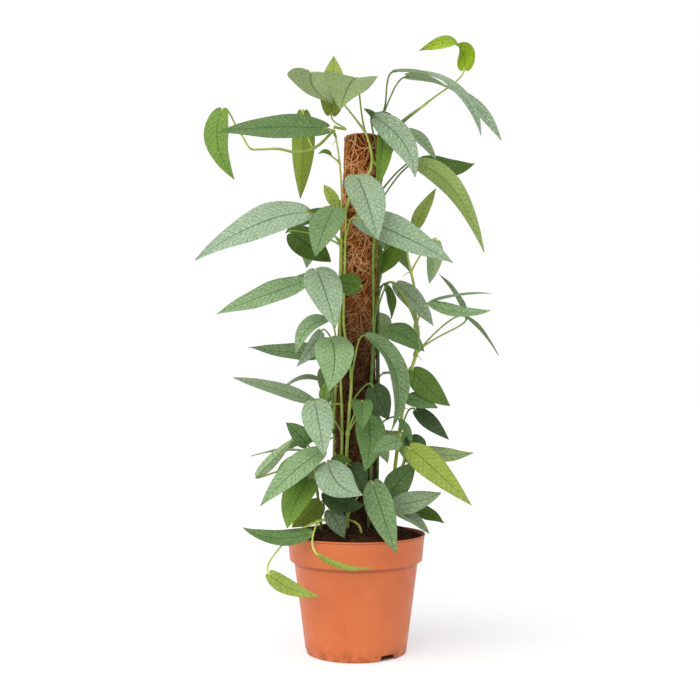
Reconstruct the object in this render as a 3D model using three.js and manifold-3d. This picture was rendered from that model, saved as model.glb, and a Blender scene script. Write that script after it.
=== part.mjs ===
// Cebu blue pothos: climbing vines on a coir pole, growing in a plastic nursery pot.
// Units are millimetres. +Z is up, -Y is the front, and the pot stands on z = 0 at the origin.
import * as THREE from 'three';
import { mergeVertices } from 'three/addons/utils/BufferGeometryUtils.js';
import Module from 'manifold-3d';

const wasm = await Module();
wasm.setup();
const { Manifold, Mesh: SolidMesh } = wasm;

// ---------------------------------------------------------------- driving dimensions
const GAP = 0.3; // clearance between pieces that touch
const POT = {
  height: 144.6,
  rim: 85, // outer radius over the lip
  band: 81.2, // outer radius at the foot of the rim band
  bandHeight: 32,
  shoulder: 75.8, // outer radius under the rim band
  shoulderDrop: 3.7,
  foot: 61.5, // outer radius at the ground
  wall: 1.5,
  lip: 1.6, // height of the lip bead
  lipStep: 0.7, // how far the lip bead stands out
  floor: 7.6, // underside of the raised floor plate
  padRadius: 14, // centre pad under the floor, level with the foot ring
  facets: 32,
  notches: 3,
  notchHeight: 7,
  notchTop: 19,
  notchFoot: 24,
  notchAngle: 37, // degrees to the right of the front
  drains: 6,
  drainRadius: 4,
  drainCircle: 40,
};
const SOIL = { edge: 139.5, crown: 155, rough: 1.4, socketTop: 175 };
const POLE = {
  top: 631,
  stakeRadius: 11,
  stakeFoot: 34,
  upperRadius: 20.5,
  lowerRadius: 23.5,
  waist: 335, // height where the thicker lower wrap of coir ends
  sleeveFoot: 118,
  leanFoot: -3, // sideways place of the axis at the foot of the sleeve
  leanTop: 7.5, // and at its top
  rough: 0.6,
};
const STEM = { radius: 1.8, tip: 1.0, sides: 5, step: 34, pastNode: 2.5 };
const FINISH = 0.3; // roundings finer than this are left out of the vines
const STALK_RADIUS = 1.15;
const BLADE = { margin: 0.38, midTop: 0.35, midKeel: 0.85, lobe: 0.05, lobeReach: 0.12 };
const LOOK = {
  terracotta: { color: 0xd87850, roughness: 0.5 },
  soil: { color: 0x3a251a, roughness: 0.95 },
  timber: { color: 0x9a7448, roughness: 0.8 },
  coir: { color: 0x8a4a24, roughness: 0.95 },
  foliage: { color: 0x5f8a5c, roughness: 0.55 },
};

const UP = new THREE.Vector3(0, 0, 1);
const vector = (p) => new THREE.Vector3(p[0], p[1], p[2]);
const radians = THREE.MathUtils.degToRad;

// A small seeded draw, so that every build is the same.
function seededDraw(seed) {
  let state = seed;
  return () => {
    state = (state * 1664525 + 1013904223) % 4294967296;
    return state / 4294967296;
  };
}

// ---------------------------------------------------------------- solids
function solidFrom(points, faces) {
  const make = (order) => new Manifold(new SolidMesh({
    numProp: 3,
    vertProperties: Float32Array.from(points.flatMap((p) => [p.x, p.y, p.z])),
    triVerts: Uint32Array.from(order.flat()),
  }));
  const solid = make(faces);
  return solid.volume() > 0 ? solid : make(faces.map(([a, b, c]) => [a, c, b]));
}

// A closed skin through rings of points. The second half of each ring mirrors the first,
// and its squares are cut the same way, so a thin blade never crosses itself.
function loft(rings) {
  const count = rings[0].length;
  const faces = [];
  for (let i = 0; i + 1 < rings.length; i += 1) {
    for (let j = 0; j < count; j += 1) {
      const next = (j + 1) % count;
      const [a, b] = [i * count + j, i * count + next];
      const [c, d] = [b + count, a + count];
      if (j < count / 2) faces.push([a, b, c], [a, c, d]);
      else faces.push([a, b, d], [b, c, d]);
    }
  }
  const last = (rings.length - 1) * count;
  for (let j = 1; j + 1 < count; j += 1) {
    faces.push([0, j + 1, j], [last, last + j, last + j + 1]);
  }
  return solidFrom(rings.flat(), faces);
}

function solidOfGeometry(geometry) {
  const bare = geometry.clone();
  bare.deleteAttribute('normal');
  bare.deleteAttribute('uv');
  const merged = mergeVertices(bare, 1e-4);
  const place = merged.attributes.position;
  const points = [];
  for (let i = 0; i < place.count; i += 1) {
    points.push(new THREE.Vector3().fromBufferAttribute(place, i));
  }
  const faces = [];
  for (let i = 0; i < merged.index.count; i += 3) {
    const face = [0, 1, 2].map((k) => merged.index.getX(i + k));
    if (new Set(face).size === 3) faces.push(face);
  }
  return solidFrom(points, faces);
}

// A profile of [radius, height] turned about the upright axis.
function turned(profile, segments) {
  const outline = profile.map(([r, z]) => new THREE.Vector2(r, z));
  const lathe = new THREE.LatheGeometry([...outline, outline[0]], segments);
  return solidOfGeometry(lathe.rotateX(Math.PI / 2));
}

function tube(points, radiusAt, sides) {
  let side = new THREE.Vector3(1, 0, 0);
  const rings = points.map((point, i) => {
    const ahead = points[Math.min(i + 1, points.length - 1)];
    const behind = points[Math.max(i - 1, 0)];
    const along = ahead.clone().sub(behind).normalize();
    side = side.clone().addScaledVector(along, -side.dot(along)).normalize();
    const other = along.clone().cross(side);
    const radius = radiusAt(i / (points.length - 1));
    return Array.from({ length: sides }, (_, j) => {
      const turn = (2 * Math.PI * j) / sides;
      return point.clone()
        .addScaledVector(side, radius * Math.cos(turn))
        .addScaledVector(other, radius * Math.sin(turn));
    });
  });
  return loft(rings);
}

function namedMesh(name, solid, { color, roughness }) {
  const mesh = solid.getMesh();
  const geometry = new THREE.BufferGeometry();
  geometry.setAttribute('position', new THREE.BufferAttribute(mesh.vertProperties, 3));
  geometry.setIndex(new THREE.BufferAttribute(mesh.triVerts, 1));
  geometry.computeVertexNormals();
  const material = new THREE.MeshStandardMaterial({ color, roughness, metalness: 0 });
  const result = new THREE.Mesh(geometry, material);
  result.name = name;
  return result;
}

// ---------------------------------------------------------------- pole
function leanAt(z) {
  const share = (z - POLE.sleeveFoot) / (POLE.top - POLE.sleeveFoot);
  return POLE.leanFoot + share * (POLE.leanTop - POLE.leanFoot);
}

function sleeveRadiusAt(z) {
  const share = THREE.MathUtils.smoothstep(z, POLE.waist - 35, POLE.waist + 25);
  return THREE.MathUtils.lerp(POLE.lowerRadius, POLE.upperRadius, share);
}

const leaning = (solid) => solid.warp((p) => {
  p[0] += leanAt(p[2]);
});

function poleStake() {
  const { stakeRadius, stakeFoot, top } = POLE;
  return leaning(turned([
    [0, stakeFoot], [stakeRadius - 2, stakeFoot], [stakeRadius, stakeFoot + 4],
    [stakeRadius, top - 4], [stakeRadius - 1.5, top - 2.5], [0, top - 2.5],
  ], 16));
}

function coirSleeve() {
  const draw = seededDraw(71);
  const rows = 10;
  const profile = [];
  for (let i = 0; i <= rows; i += 1) {
    const z = THREE.MathUtils.lerp(POLE.sleeveFoot, POLE.top, i / rows);
    profile.push([sleeveRadiusAt(z), z]);
  }
  profile.push([POLE.stakeRadius + GAP, POLE.top], [POLE.stakeRadius + GAP, POLE.sleeveFoot]);
  const plain = turned(profile, 18);
  const rough = plain.warp((p) => {
    const radius = Math.hypot(p[0], p[1]);
    if (radius < POLE.upperRadius - 1) return;
    const swell = 1 + (draw() - 1) * (POLE.rough / radius);
    p[0] *= swell;
    p[1] *= swell;
  });
  return leaning(rough);
}

// ---------------------------------------------------------------- pot
function potRadii() {
  const bandFoot = POT.height - POT.bandHeight;
  const shoulderFoot = bandFoot - POT.shoulderDrop;
  const lipFoot = POT.height - POT.lip;
  const rimOuter = POT.rim - POT.lipStep;
  return { bandFoot, shoulderFoot, lipFoot, rimOuter };
}

// Inner radius of the pot wall at a height.
function potInnerAt(z) {
  const { bandFoot, shoulderFoot, rimOuter } = potRadii();
  const outer = z > bandFoot
    ? THREE.MathUtils.mapLinear(z, bandFoot, POT.height, POT.band, rimOuter)
    : THREE.MathUtils.mapLinear(z, 0, shoulderFoot, POT.foot, POT.shoulder);
  return outer - POT.wall;
}

function pot() {
  const { bandFoot, shoulderFoot, lipFoot, rimOuter } = potRadii();
  const wall = POT.wall;
  const floorTop = POT.floor + 1.6;
  const outer = [
    [POT.foot - wall - 0.4, 0], [POT.foot - 0.6, 0], [POT.foot + 0.3, 1.6],
    [POT.shoulder, shoulderFoot], [POT.band - 0.5, bandFoot - 0.3], [POT.band, bandFoot + 0.6],
    [rimOuter, lipFoot], [POT.rim, lipFoot + 0.3], [POT.rim, POT.height - 0.4],
    [POT.rim - 0.5, POT.height],
  ];
  const inner = [
    [rimOuter - wall, POT.height], [POT.band - wall, bandFoot + 1.2],
    [POT.shoulder - wall, shoulderFoot - 0.6], [potInnerAt(floorTop), floorTop],
    [0, floorTop],
  ];
  const under = [
    [0, 0], [POT.padRadius, 0], [POT.padRadius + 1, POT.floor],
    [POT.foot - wall, POT.floor],
  ];
  let solid = turned([...outer, ...inner, ...under], POT.facets);
  for (let k = 0; k < POT.notches; k += 1) {
    solid = solid.subtract(drainNotch(POT.notchAngle + (360 / POT.notches) * k));
  }
  for (let k = 0; k < POT.drains; k += 1) {
    const turn = radians((360 / POT.drains) * (k + 0.5));
    const hole = Manifold.cylinder(4, POT.drainRadius, POT.drainRadius, 8)
      .translate([POT.drainCircle * Math.sin(turn), POT.drainCircle * Math.cos(turn), POT.floor - 1]);
    solid = solid.subtract(hole);
  }
  return solid;
}

function drainNotch(angle) {
  const half = [POT.notchFoot / 2, POT.notchTop / 2];
  const depth = 7;
  const ring = (y) => [
    new THREE.Vector3(-half[0], y, -1), new THREE.Vector3(half[0], y, -1),
    new THREE.Vector3(half[1], y, POT.notchHeight), new THREE.Vector3(-half[1], y, POT.notchHeight),
  ];
  return loft([ring(-POT.foot - depth), ring(-POT.foot + depth)]).rotate([0, 0, angle]);
}

// ---------------------------------------------------------------- soil
function soilBody() {
  const draw = seededDraw(40);
  const { bandFoot, shoulderFoot } = potRadii();
  const bottom = POT.floor + 1.6 + GAP;
  const sectors = POT.facets;
  const edge = potInnerAt(SOIL.edge) - GAP;
  const topRadii = [1, 0.88, 0.7, 0.5].map((share) => share * edge);
  const profile = [
    [potInnerAt(bottom) - GAP, bottom],
    [POT.shoulder - POT.wall - GAP, shoulderFoot - 0.2],
    [POT.band - POT.wall - GAP, bandFoot + 1.7],
    ...topRadii.map((r) => [r, SOIL.crown - (SOIL.crown - SOIL.edge) * (r / edge) ** 2]),
    [0, SOIL.crown], [0, bottom],
  ];
  return turned(profile, sectors).warp((p) => {
    const radius = Math.hypot(p[0], p[1]);
    if (p[2] > SOIL.edge + 0.5 && radius > 1) p[2] += (draw() - 0.5) * 2 * SOIL.rough;
  });
}

function soilHoles(stems) {
  const socket = (radius, foot, top) => leaning(turned([
    [0, foot], [radius, foot], [radius, top], [0, top],
  ], 18));
  const pole = [
    socket(POLE.lowerRadius + GAP, POLE.sleeveFoot - GAP, SOIL.socketTop),
    socket(POLE.stakeRadius + GAP, POLE.stakeFoot - GAP, POLE.sleeveFoot + 1),
  ];
  const stemHoles = stems.map((points) => {
    const line = points.filter((p) => p.z < SOIL.socketTop);
    const foot = line[0].clone();
    foot.z -= GAP;
    return tube([foot, ...line.slice(1)], () => STEM.radius + GAP + 0.3, 6);
  });
  return Manifold.union([...pole, ...stemHoles]);
}

// ---------------------------------------------------------------- vines
// A point beside the pole: degrees round it from the front to the right, height, and distance off it.
function clasp([angle, z, off = 3.2]) {
  const reach = sleeveRadiusAt(z) + off;
  const turn = radians(angle);
  return new THREE.Vector3(leanAt(z) + reach * Math.sin(turn), -reach * Math.cos(turn), z);
}

function stemPoints(spots) {
  const line = spots.map((spot) => (spot.length === 3 && spot[2] > 60 ? vector(spot) : clasp(spot)));
  const curve = new THREE.CatmullRomCurve3(line, false, 'centripetal');
  return curve.getSpacedPoints(Math.max(3, Math.round(curve.getLength() / STEM.step)));
}

// The midrib is a parabola from base to tip, and the blade's frame turns with it in its plane.
function bladeFrame({ from, to, face, arch, twist }) {
  const [start, end] = [vector(from), vector(to)];
  const chord = end.clone().sub(start);
  const along = chord.clone().normalize();
  const [azimuth, lift] = face.map(radians);
  const facing = new THREE.Vector3(
    Math.sin(azimuth) * Math.cos(lift), -Math.cos(azimuth) * Math.cos(lift), Math.sin(lift),
  );
  const middleNormal = facing.addScaledVector(along, -facing.dot(along)).normalize();
  const middle = start.clone().add(end).multiplyScalar(0.5);
  const rise = Array.isArray(arch)
    ? vector(arch).sub(middle)
    : middleNormal.clone().multiplyScalar(arch);
  const bend = rise.length() > 0.5 ? rise : middleNormal;
  const axis = chord.clone().cross(bend).normalize();
  const control = middle.clone().addScaledVector(rise, 2);
  const length = chord.length();
  const share = [middleNormal.dot(axis), middleNormal.dot(axis.clone().cross(along))];
  return (t) => {
    const point = start.clone().multiplyScalar((1 - t) ** 2)
      .addScaledVector(control, 2 * t * (1 - t)).addScaledVector(end, t * t);
    const tangent = control.clone().sub(start).multiplyScalar(1 - t)
      .addScaledVector(end.clone().sub(control), t).normalize();
    const normal = axis.clone().multiplyScalar(share[0])
      .addScaledVector(axis.clone().cross(tangent), share[1])
      .applyAxisAngle(tangent, radians(twist) * (t - 0.5)).normalize();
    return { point, tangent, normal, side: tangent.clone().cross(normal), length };
  };
}

// Share of the greatest width at a share of the length: round base, long drawn-out tip.
function widthShare(t) {
  return 1.5 * Math.sqrt(3 * t) * (1 - t);
}

function bladeRing(frame, t, wide, fold) {
  const { point, tangent, normal, side, length } = frame(t);
  const half = Math.max((wide / 2) * widthShare(t), t < 0.5 ? 1.3 : 0.6);
  const back = -length * BLADE.lobe * Math.exp(-((t / BLADE.lobeReach) ** 2)) * Math.min(1, half / 4);
  const margin = (sign) => point.clone()
    .addScaledVector(side, sign * half * Math.cos(fold))
    .addScaledVector(normal, half * Math.sin(fold))
    .addScaledVector(tangent, t > 0 ? back : 0);
  const off = (p, distance) => p.addScaledVector(normal, distance);
  return [
    off(margin(-1), BLADE.margin), off(point.clone(), BLADE.midTop), off(margin(1), BLADE.margin),
    off(margin(1), -BLADE.margin), off(point.clone(), -BLADE.midKeel), off(margin(-1), -BLADE.margin),
  ];
}

function stalkRing(point, side, normal) {
  const corner = (turn) => point.clone()
    .addScaledVector(side, STALK_RADIUS * Math.cos(radians(turn)))
    .addScaledVector(normal, STALK_RADIUS * Math.sin(radians(turn)));
  return [150, 90, 30, -30, -90, -150].map(corner);
}

function stalkRings(root, stemAlong, frame) {
  const base = frame(0);
  const reach = base.point.distanceTo(root);
  const outward = base.point.clone().sub(root).normalize();
  const first = root.clone()
    .addScaledVector(stemAlong, reach * 0.14)
    .addScaledVector(outward, reach * 0.3);
  const second = base.point.clone().addScaledVector(base.tangent, -Math.min(14, reach * 0.4));
  const curve = new THREE.CubicBezierCurve3(root, first, second, base.point);
  let normal = base.normal.clone();
  return [0.86, 0.45, 0].map((t) => {
    const along = curve.getTangent(t);
    normal = normal.clone().addScaledVector(along, -normal.dot(along)).normalize();
    return stalkRing(curve.getPoint(t), along.clone().cross(normal), normal);
  }).reverse();
}

// Shares of the length where a blade has its cross sections.
function bladePlaces(wide) {
  if (wide < 23) return [0, 0.1, 0.42, 1];
  if (wide < 33) return [0, 0.07, 0.3, 0.64, 1];
  return wide < 44 ? [0, 0.05, 0.2, 0.46, 0.76, 1] : [0, 0.05, 0.18, 0.4, 0.63, 0.84, 1];
}

// The node that a leaf grows from, and the stem's direction there.
function leafNode(stems, [height, from]) {
  const base = vector(from);
  let [root, along, nearest] = [null, UP, Infinity];
  for (const points of stems) {
    points.slice(1, -1).forEach((point, i) => {
      const miss = point.distanceTo(base) + 8 * Math.max(0, Math.abs(point.z - height) - 12);
      if (miss < nearest) {
        nearest = miss;
        root = point;
        along = points[i + 2].clone().sub(points[i]).normalize();
      }
    });
  }
  return { root, along };
}

function leafSolid(stems, row) {
  const [, from, to, wide, face, arch, fold, twist] = row;
  const frame = bladeFrame({ from, to, face, arch, twist });
  const { root, along } = leafNode(stems, row);
  const places = bladePlaces(wide);
  const blade = places.map((t) => bladeRing(frame, t, wide, radians(fold)));
  return loft([...stalkRings(root, along, frame), ...blade]);
}

// Each vine has stems and leaves. A stem spot is [degrees round the pole, height] or a point.
// A leaf row is: height of its node, base of the blade, tip, greatest width, the way its upper
// side faces as [degrees from the front to the right, degrees up], arch of the midrib or the
// point that its middle passes, degrees of fold, and degrees of twist.
const VINES = {
  vine_front_left: {
    stems: [
      [[-32, 132], [-38, 200], [-40, 280], [-58, 345], [-68, 400], [-68, 450], [-68, 540],
        [-14, -16, 590], [-9, -18, 622], [-6, -15, 641], [0, -14, 658], [0, -14, 672]],
    ],
    leaves: [
      [505, [-26, -42, 536], [-47, -86, 471], 41, [-10, 30], 5, 6, 0],
      [520, [-23, -26, 541], [-39, -22, 568], 15, [-20, 30], 3, 10, 0],
      [430, [-47, -38, 463], [-24, -84, 390], 44, [5, 25], 6, 8, 0],
      [350, [-31, -46, 381], [-31, -104, 317], 46, [0, 45], [-25, -80, 354], 5, 0],
      [282, [-49, -49, 307], [-36, -90, 244], 37, [-5, 28], 5, 6, 0],
      [285, [-38, -34, 307], [-37, -32, 330], 14, [0, 20], 2, 8, 0],
      [208, [-33, -66, 235], [7, -114, 202], 42, [-5, 36], [-19, -92, 211], 4, 0],
      [212, [-30, -54, 236], [-5, -60, 236], 18, [0, 50], 2, 8, 0],
      [172, [-36, -52, 200], [10, -78, 188], 28, [0, 35], [-13, -68, 186], 10, 0],
      [172, [-31, -62, 180], [-14, -72, 148], 24, [0, 30], 3, 8, 0],
    ],
  },
  vine_left: {
    stems: [
      [[-78, 132], [-86, 210], [-82, 300], [-92, 390], [-88, 480], [-92, 560], [-21, -10, 605],
        [-27, -13, 640], [-30, -12, 662]],
      [[-27, -13, 636], [-49, -4, 618], [-74, 2, 613], [-95, 2, 617], [-118, 0, 616], [-129, -2, 616],
        [-139, -4, 631], [-147, -6, 646], [-158, -8, 661]],
      [[-27, -13, 640], [-8, -6, 638], [16, -6, 637]],
    ],
    leaves: [
      [650, [-163, -10, 661], [-148, -14, 576], 33, [-20, 15], [-168, -16, 620], 8, 0],
      [638, [-36, -28, 634], [-163, -46, 624], 36, [0, 24], [-100, -40, 632], 5, 0],
      [614, [-66, 18, 667], [-70, 24, 560], 30, [170, 10], 6, 8, 0],
      [650, [-31, 20, 665], [-28, 58, 751], 33, [8, 20], 5, 10, 0],
      [590, [-30, -16, 604], [-46, -18, 606], 14, [0, 50], 3, 15, 0],
      [500, [-60, -30, 533], [-190, -46, 473], 45, [-5, 24], [-121, -46, 514], 4, 0],
      [495, [-80, -2, 513], [-31, 10, 479], 38, [0, 10], 4, 6, 0],
      [425, [-62, -24, 451], [-167, -32, 411], 32, [0, 30], [-114, -34, 431], 5, 0],
      [378, [-36, -30, 404], [-72, -42, 362], 28, [-20, 40], [-58, -40, 392], 14, 0],
      [362, [-42, -40, 389], [-70, -56, 347], 20, [60, 25], 4, 12, 0],
      [342, [-40, -12, 366], [-131, -18, 372], 28, [0, 40], [-84, -16, 366], 12, 30],
      [305, [-40, -12, 330], [-88, -20, 321], 24, [-20, 72], [-66, -18, 333], 12, 0],
      [280, [-52, -36, 306], [-145, -50, 334], 30, [0, 56], [-100, -46, 322], 6, 0],
    ],
  },
  vine_lower_left: {
    stems: [
      [[-40, -14, 130], [-45, -20, 180], [-50, -22, 225], [-54, -20, 262]],
    ],
    leaves: [
      [240, [-58, -30, 254], [-84, -36, 281], 24, [-20, 40], 4, 10, 0],
      [250, [-117, -50, 218], [-73, -42, 264], 15, [160, 20], 4, 12, 0],
      [225, [-66, -8, 246], [-129, -12, 239], 20, [0, 84], 3, 8, 0],
      [232, [-41, -52, 248], [-109, -92, 187], 34, [-10, 35], 7, 10, 0],
      [214, [-58, -34, 238], [-97, -60, 208], 30, [-20, 40], 5, 10, 0],
      [192, [-56, -48, 214], [-80, -74, 160], 42, [-25, 22], 6, 10, 0],
      [168, [-42, -36, 186], [-76, -52, 158], 28, [170, -10], 4, 8, 0],
    ],
  },
  vine_trailing: {
    stems: [
      [[6, -44, 134], [4, -46, 158], [-8, -48, 166], [-30, -56, 164]],
      [[-12, -50, 166], [-34, -56, 168], [-66, -64, 157], [-90, -70, 142], [-98, -70, 128]],
    ],
    leaves: [
      [166, [-52, -70, 154], [-131, -74, 161], 28, [0, 56], [-94, -77, 149], 6, 0],
      [134, [-101, -70, 107], [-42, -88, 84], 20, [-10, 30], [-77, -80, 92], 10, 0],
      [166, [-44, -92, 132], [22, -98, 119], 10, [0, 50], [-14, -98, 118], 26, 0],
    ],
  },
  vine_front: {
    stems: [
      [[-14, 132], [-22, 200], [-24, 245], [-20, 287], [-17, 336], [-34, 372], [-48, 400], [-48, 450],
        [-48, 500], [-46, 548], [-33, 579], [-26, 600], [-16, 622], [-12, 640]],
      [[-12, -16, 539], [-3, -26, 562], [14, -27, 578], [19, -24, 592], [18, -24, 608], [11, -25, 630],
        [0, -27, 646], [-9, -26, 660]],
      [[19, -24, 597], [27, -22, 590], [37, -18, 600], [49, -15, 613]],
    ],
    leaves: [
      [548, [1, -44, 573], [24, -98, 488], 46, [10, 30], 6, 10, 0],
      [500, [2, -46, 523], [112, -66, 467], 44, [5, 25], 6, 8, 0],
      [350, [12, -40, 384], [40, -76, 272], 36, [40, 20], [46, -64, 336], 24, 0],
      [300, [20, -44, 324], [38, -50, 284], 30, [-10, 10], 3, 8, 0],
      [282, [7, -60, 306], [7, -86, 274], 27, [0, 30], 4, 26, 0],
      [262, [13, -46, 293], [10, -78, 226], 36, [10, 20], [16, -66, 260], 10, 0],
      [182, [19, -60, 211], [45, -100, 134], 34, [-10, 15], 6, 12, 0],
      [200, [-7, -50, 231], [9, -58, 199], 30, [0, 25], 4, 8, 0],
      [428, [5, -36, 444], [-30, -33, 449], 27, [0, 10], 2, 4, 0],
      [631, [-56, 30, 720], [-28, -35, 661], 62, [14, 50], [-52, -2, 691], 12, 0],
      [631, [1, -14, 699], [-18, -84, 640], 66, [-2, 47], 9, 12, 0],
      [602, [63, -14, 636], [97, -20, 598], 20, [20, 30], 4, 8, 0],
    ],
  },
  vine_front_right: {
    stems: [
      [[34, 132], [44, 210], [38, 300], [52, 390], [44, 480], [54, 570], [25, -18, 622],
        [26, -22, 640]],
    ],
    leaves: [
      [625, [22, -33, 646], [69, -56, 569], 31, [-20, 10], [56, -48, 611], 6, 0],
      [625, [27, -26, 640], [9, -28, 658], 13, [0, 40], 2, 20, 0],
      [625, [32, -24, 640], [25, -36, 560], 26, [30, 0], 3, 30, 0],
      [480, [47, -16, 497], [31, -24, 460], 24, [160, 10], 3, 10, 0],
      [420, [48, -30, 447], [92, -38, 396], 27, [10, 20], 5, 8, 0],
      [415, [44, -40, 446], [75, -50, 364], 26, [80, 25], [66, -48, 408], 14, 0],
      [412, [36, -22, 446], [42, -28, 405], 20, [50, 0], 3, 12, 0],
      [370, [38, -18, 394], [82, -26, 366], 34, [0, 40], 5, 8, 0],
      [258, [52, -37, 284], [67, -41, 254], 14, [40, 20], 2, 10, 0],
      [262, [50, -74, 261], [19, -90, 248], 24, [0, 40], 3, 8, 0],
      [470, [28, -18, 496], [27, -20, 450], 14, [70, 0], 2, 20, 0],
      [525, [73, -26, 592], [153, -34, 484], 27, [150, 15], [118, -34, 558], 6, 0],
    ],
  },
  vine_right: {
    stems: [
      [[96, 132], [88, 220], [98, 310], [90, 400], [98, 490], [90, 580], [30, 2, 630], [34, -2, 660],
        [41, -8, 694]],
      [[30, 2, 622], [58, -2, 650], [92, -6, 675], [112, -8, 691]],
    ],
    leaves: [
      [655, [47, -30, 702], [149, -32, 624], 34, [20, 56], [116, -30, 684], 8, 50],
      [655, [65, 18, 711], [182, 20, 632], 32, [-5, 58], [133, 20, 688], 8, 110],
      [680, [132, -10, 711], [76, -18, 731], 33, [0, 64], [121, -14, 740], 12, -180],
      [645, [24, -12, 652], [48, -14, 650], 14, [0, 30], 2, 20, 0],
      [172, [40, -30, 195], [71, -34, 233], 32, [-10, 16], 3, 6, 0],
      [563, [80, 8, 604], [147, 6, 600], 28, [0, 20], [116, 8, 595], 6, 0],
    ],
  },
  vine_outer_right: {
    stems: [
      [[42, 6, 130], [46, 6, 200], [54, 4, 270], [64, 0, 334], [73, -4, 363], [73, -4, 400],
        [72, -4, 441], [63, -6, 486], [59, -8, 542], [49, -6, 576], [42, -2, 596]],
    ],
    leaves: [
      [490, [70, -16, 514], [97, -18, 564], 20, [-30, 10], 2, 8, 0],
      [480, [97, -20, 500], [88, -24, 448], 20, [160, 0], 4, 10, 0],
      [405, [92, -8, 428], [165, -8, 438], 24, [0, 78], 3, 8, 0],
      [398, [90, -18, 424], [162, -24, 416], 26, [0, 50], [126, -24, 413], 10, 0],
      [363, [138, 24, 412], [104, 24, 466], 28, [62, 35], 3, 12, 0],
      [363, [138, 24, 412], [179, 28, 364], 24, [70, 35], 3, 12, 0],
      [335, [68, -24, 344], [112, -36, 301], 32, [10, 16], [88, -32, 320], 5, 0],
      [300, [60, -34, 309], [97, -38, 298], 26, [0, 40], 3, 10, 0],
      [275, [72, -18, 296], [112, -22, 260], 20, [0, 16], 2, 5, 0],
    ],
  },
  vine_lower_right: {
    stems: [
      [[36, -24, 130], [46, -26, 190], [58, -28, 238], [62, -30, 262]],
    ],
    leaves: [
      [225, [63, -50, 251], [133, -72, 186], 34, [10, 16], [93, -62, 225], 4, 0],
      [232, [77, -14, 246], [142, -20, 244], 22, [0, 36], [110, -18, 241], 6, 0],
      [245, [66, -28, 265], [74, -34, 233], 28, [20, 10], 4, 10, 0],
      [170, [42, -46, 184], [99, -62, 200], 30, [0, 36], [72, -56, 189], 6, 0],
      [165, [40, -54, 182], [86, -48, 150], 26, [30, 45], 5, 10, 0],
      [165, [66, -20, 176], [106, -28, 160], 24, [20, 45], 3, 8, 0],
    ],
  },
  vine_back_left: {
    stems: [
      [[-126, 132], [-134, 220], [-124, 320], [-136, 420], [-126, 520], [-134, 600]],
    ],
    leaves: [
      [560, [-30, 40, 548], [-92, 72, 525], 26, [-150, 50], 5, 8, 0],
      [505, [-46, 30, 524], [-66, 118, 486], 40, [-165, 50], 10, 8, 10],
      [430, [-40, 40, 468], [-116, 76, 440], 30, [-120, 55], 5, 12, 0],
      [345, [-28, 36, 356], [-36, 106, 300], 34, [-160, 30], 8, 6, 0],
      [252, [-40, 46, 256], [-106, 88, 232], 30, [-140, 60], 6, 12, 0],
      [196, [-52, 36, 224], [-80, 98, 166], 38, [-150, 30], 6, 8, 0],
    ],
  },
  vine_back: {
    stems: [
      [[176, 132], [184, 220], [174, 320], [186, 420], [176, 520], [184, 610]],
    ],
    leaves: [
      [596, [10, 40, 634], [26, 96, 566], 38, [165, 35], 8, 8, 0],
      [540, [-6, 44, 560], [-40, 128, 528], 34, [-165, 55], 8, 12, 0],
      [452, [14, 40, 482], [6, 112, 424], 44, [175, 35], 8, 6, 10],
      [378, [-10, 46, 396], [26, 132, 374], 32, [170, 60], 6, 12, -10],
      [300, [-4, 42, 326], [-24, 110, 262], 42, [-175, 30], 8, 6, 0],
      [232, [12, 48, 250], [44, 128, 222], 34, [160, 55], 6, 10, 0],
      [172, [-14, 46, 196], [-30, 112, 158], 36, [-170, 42], 6, 10, 0],
    ],
  },
  vine_back_right: {
    stems: [
      [[128, 132], [136, 220], [126, 320], [138, 420], [128, 520], [134, 590]],
    ],
    leaves: [
      [560, [14, 38, 576], [34, 104, 544], 26, [160, 45], 6, 10, 0],
      [488, [26, 42, 510], [72, 82, 474], 34, [130, 40], 8, 8, 10],
      [396, [18, 36, 418], [42, 110, 380], 36, [165, 45], 8, 6, 0],
      [322, [38, 42, 342], [112, 86, 322], 32, [135, 60], 6, 12, -10],
      [240, [46, 34, 268], [74, 108, 218], 40, [155, 35], 8, 8, 0],
      [186, [38, 44, 196], [90, 72, 160], 30, [130, 45], 5, 10, 0],
    ],
  },
};

// Whether a node is on this length of stem, its near end left out.
function liesOn(start, end, node) {
  const nearest = new THREE.Line3(start, end).closestPointToPoint(node, true, new THREE.Vector3());
  return node.distanceTo(start) > 1 && node.distanceTo(nearest) < 3;
}

// A stem ends just past its last node: what lies beyond the last leaf or branch is left off.
function endedStems(stems, rows) {
  const nodes = rows.map((row) => leafNode(stems, row).root);
  nodes.push(...stems.slice(1).map((points) => points[0]));
  return stems.map((points) => {
    const used = points.map((to, i) => i > 0 && nodes.some((at) => liesOn(points[i - 1], to, at)));
    const kept = points.slice(0, Math.max(used.lastIndexOf(true), 2) + 1);
    const end = kept.pop();
    const past = end.clone().sub(kept.at(-1)).setLength(STEM.pastNode);
    return [...kept, end.clone().add(past)];
  });
}

function vineSolid(stems, rows) {
  const taper = (share) => THREE.MathUtils.lerp(STEM.radius, STEM.tip, share ** 3);
  const canes = endedStems(stems, rows).map((points) => tube(points, taper, STEM.sides));
  const leaves = rows.map((row) => leafSolid(stems, row));
  return Manifold.union([...canes, ...leaves]).simplify(FINISH);
}

// ---------------------------------------------------------------- assembly
const group = new THREE.Group();
const vineStems = Object.fromEntries(
  Object.entries(VINES).map(([name, vine]) => [name, vine.stems.map(stemPoints)]),
);
const rooted = Object.values(vineStems).map((stems) => stems[0]);

group.add(namedMesh('pot', pot(), LOOK.terracotta));
group.add(namedMesh('soil', soilBody().subtract(soilHoles(rooted)), LOOK.soil));
group.add(namedMesh('pole_stake', poleStake(), LOOK.timber));
group.add(namedMesh('coir_sleeve', coirSleeve(), LOOK.coir));
for (const [name, vine] of Object.entries(VINES)) {
  group.add(namedMesh(name, vineSolid(vineStems[name], vine.leaves), LOOK.foliage));
}

export default group;
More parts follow.
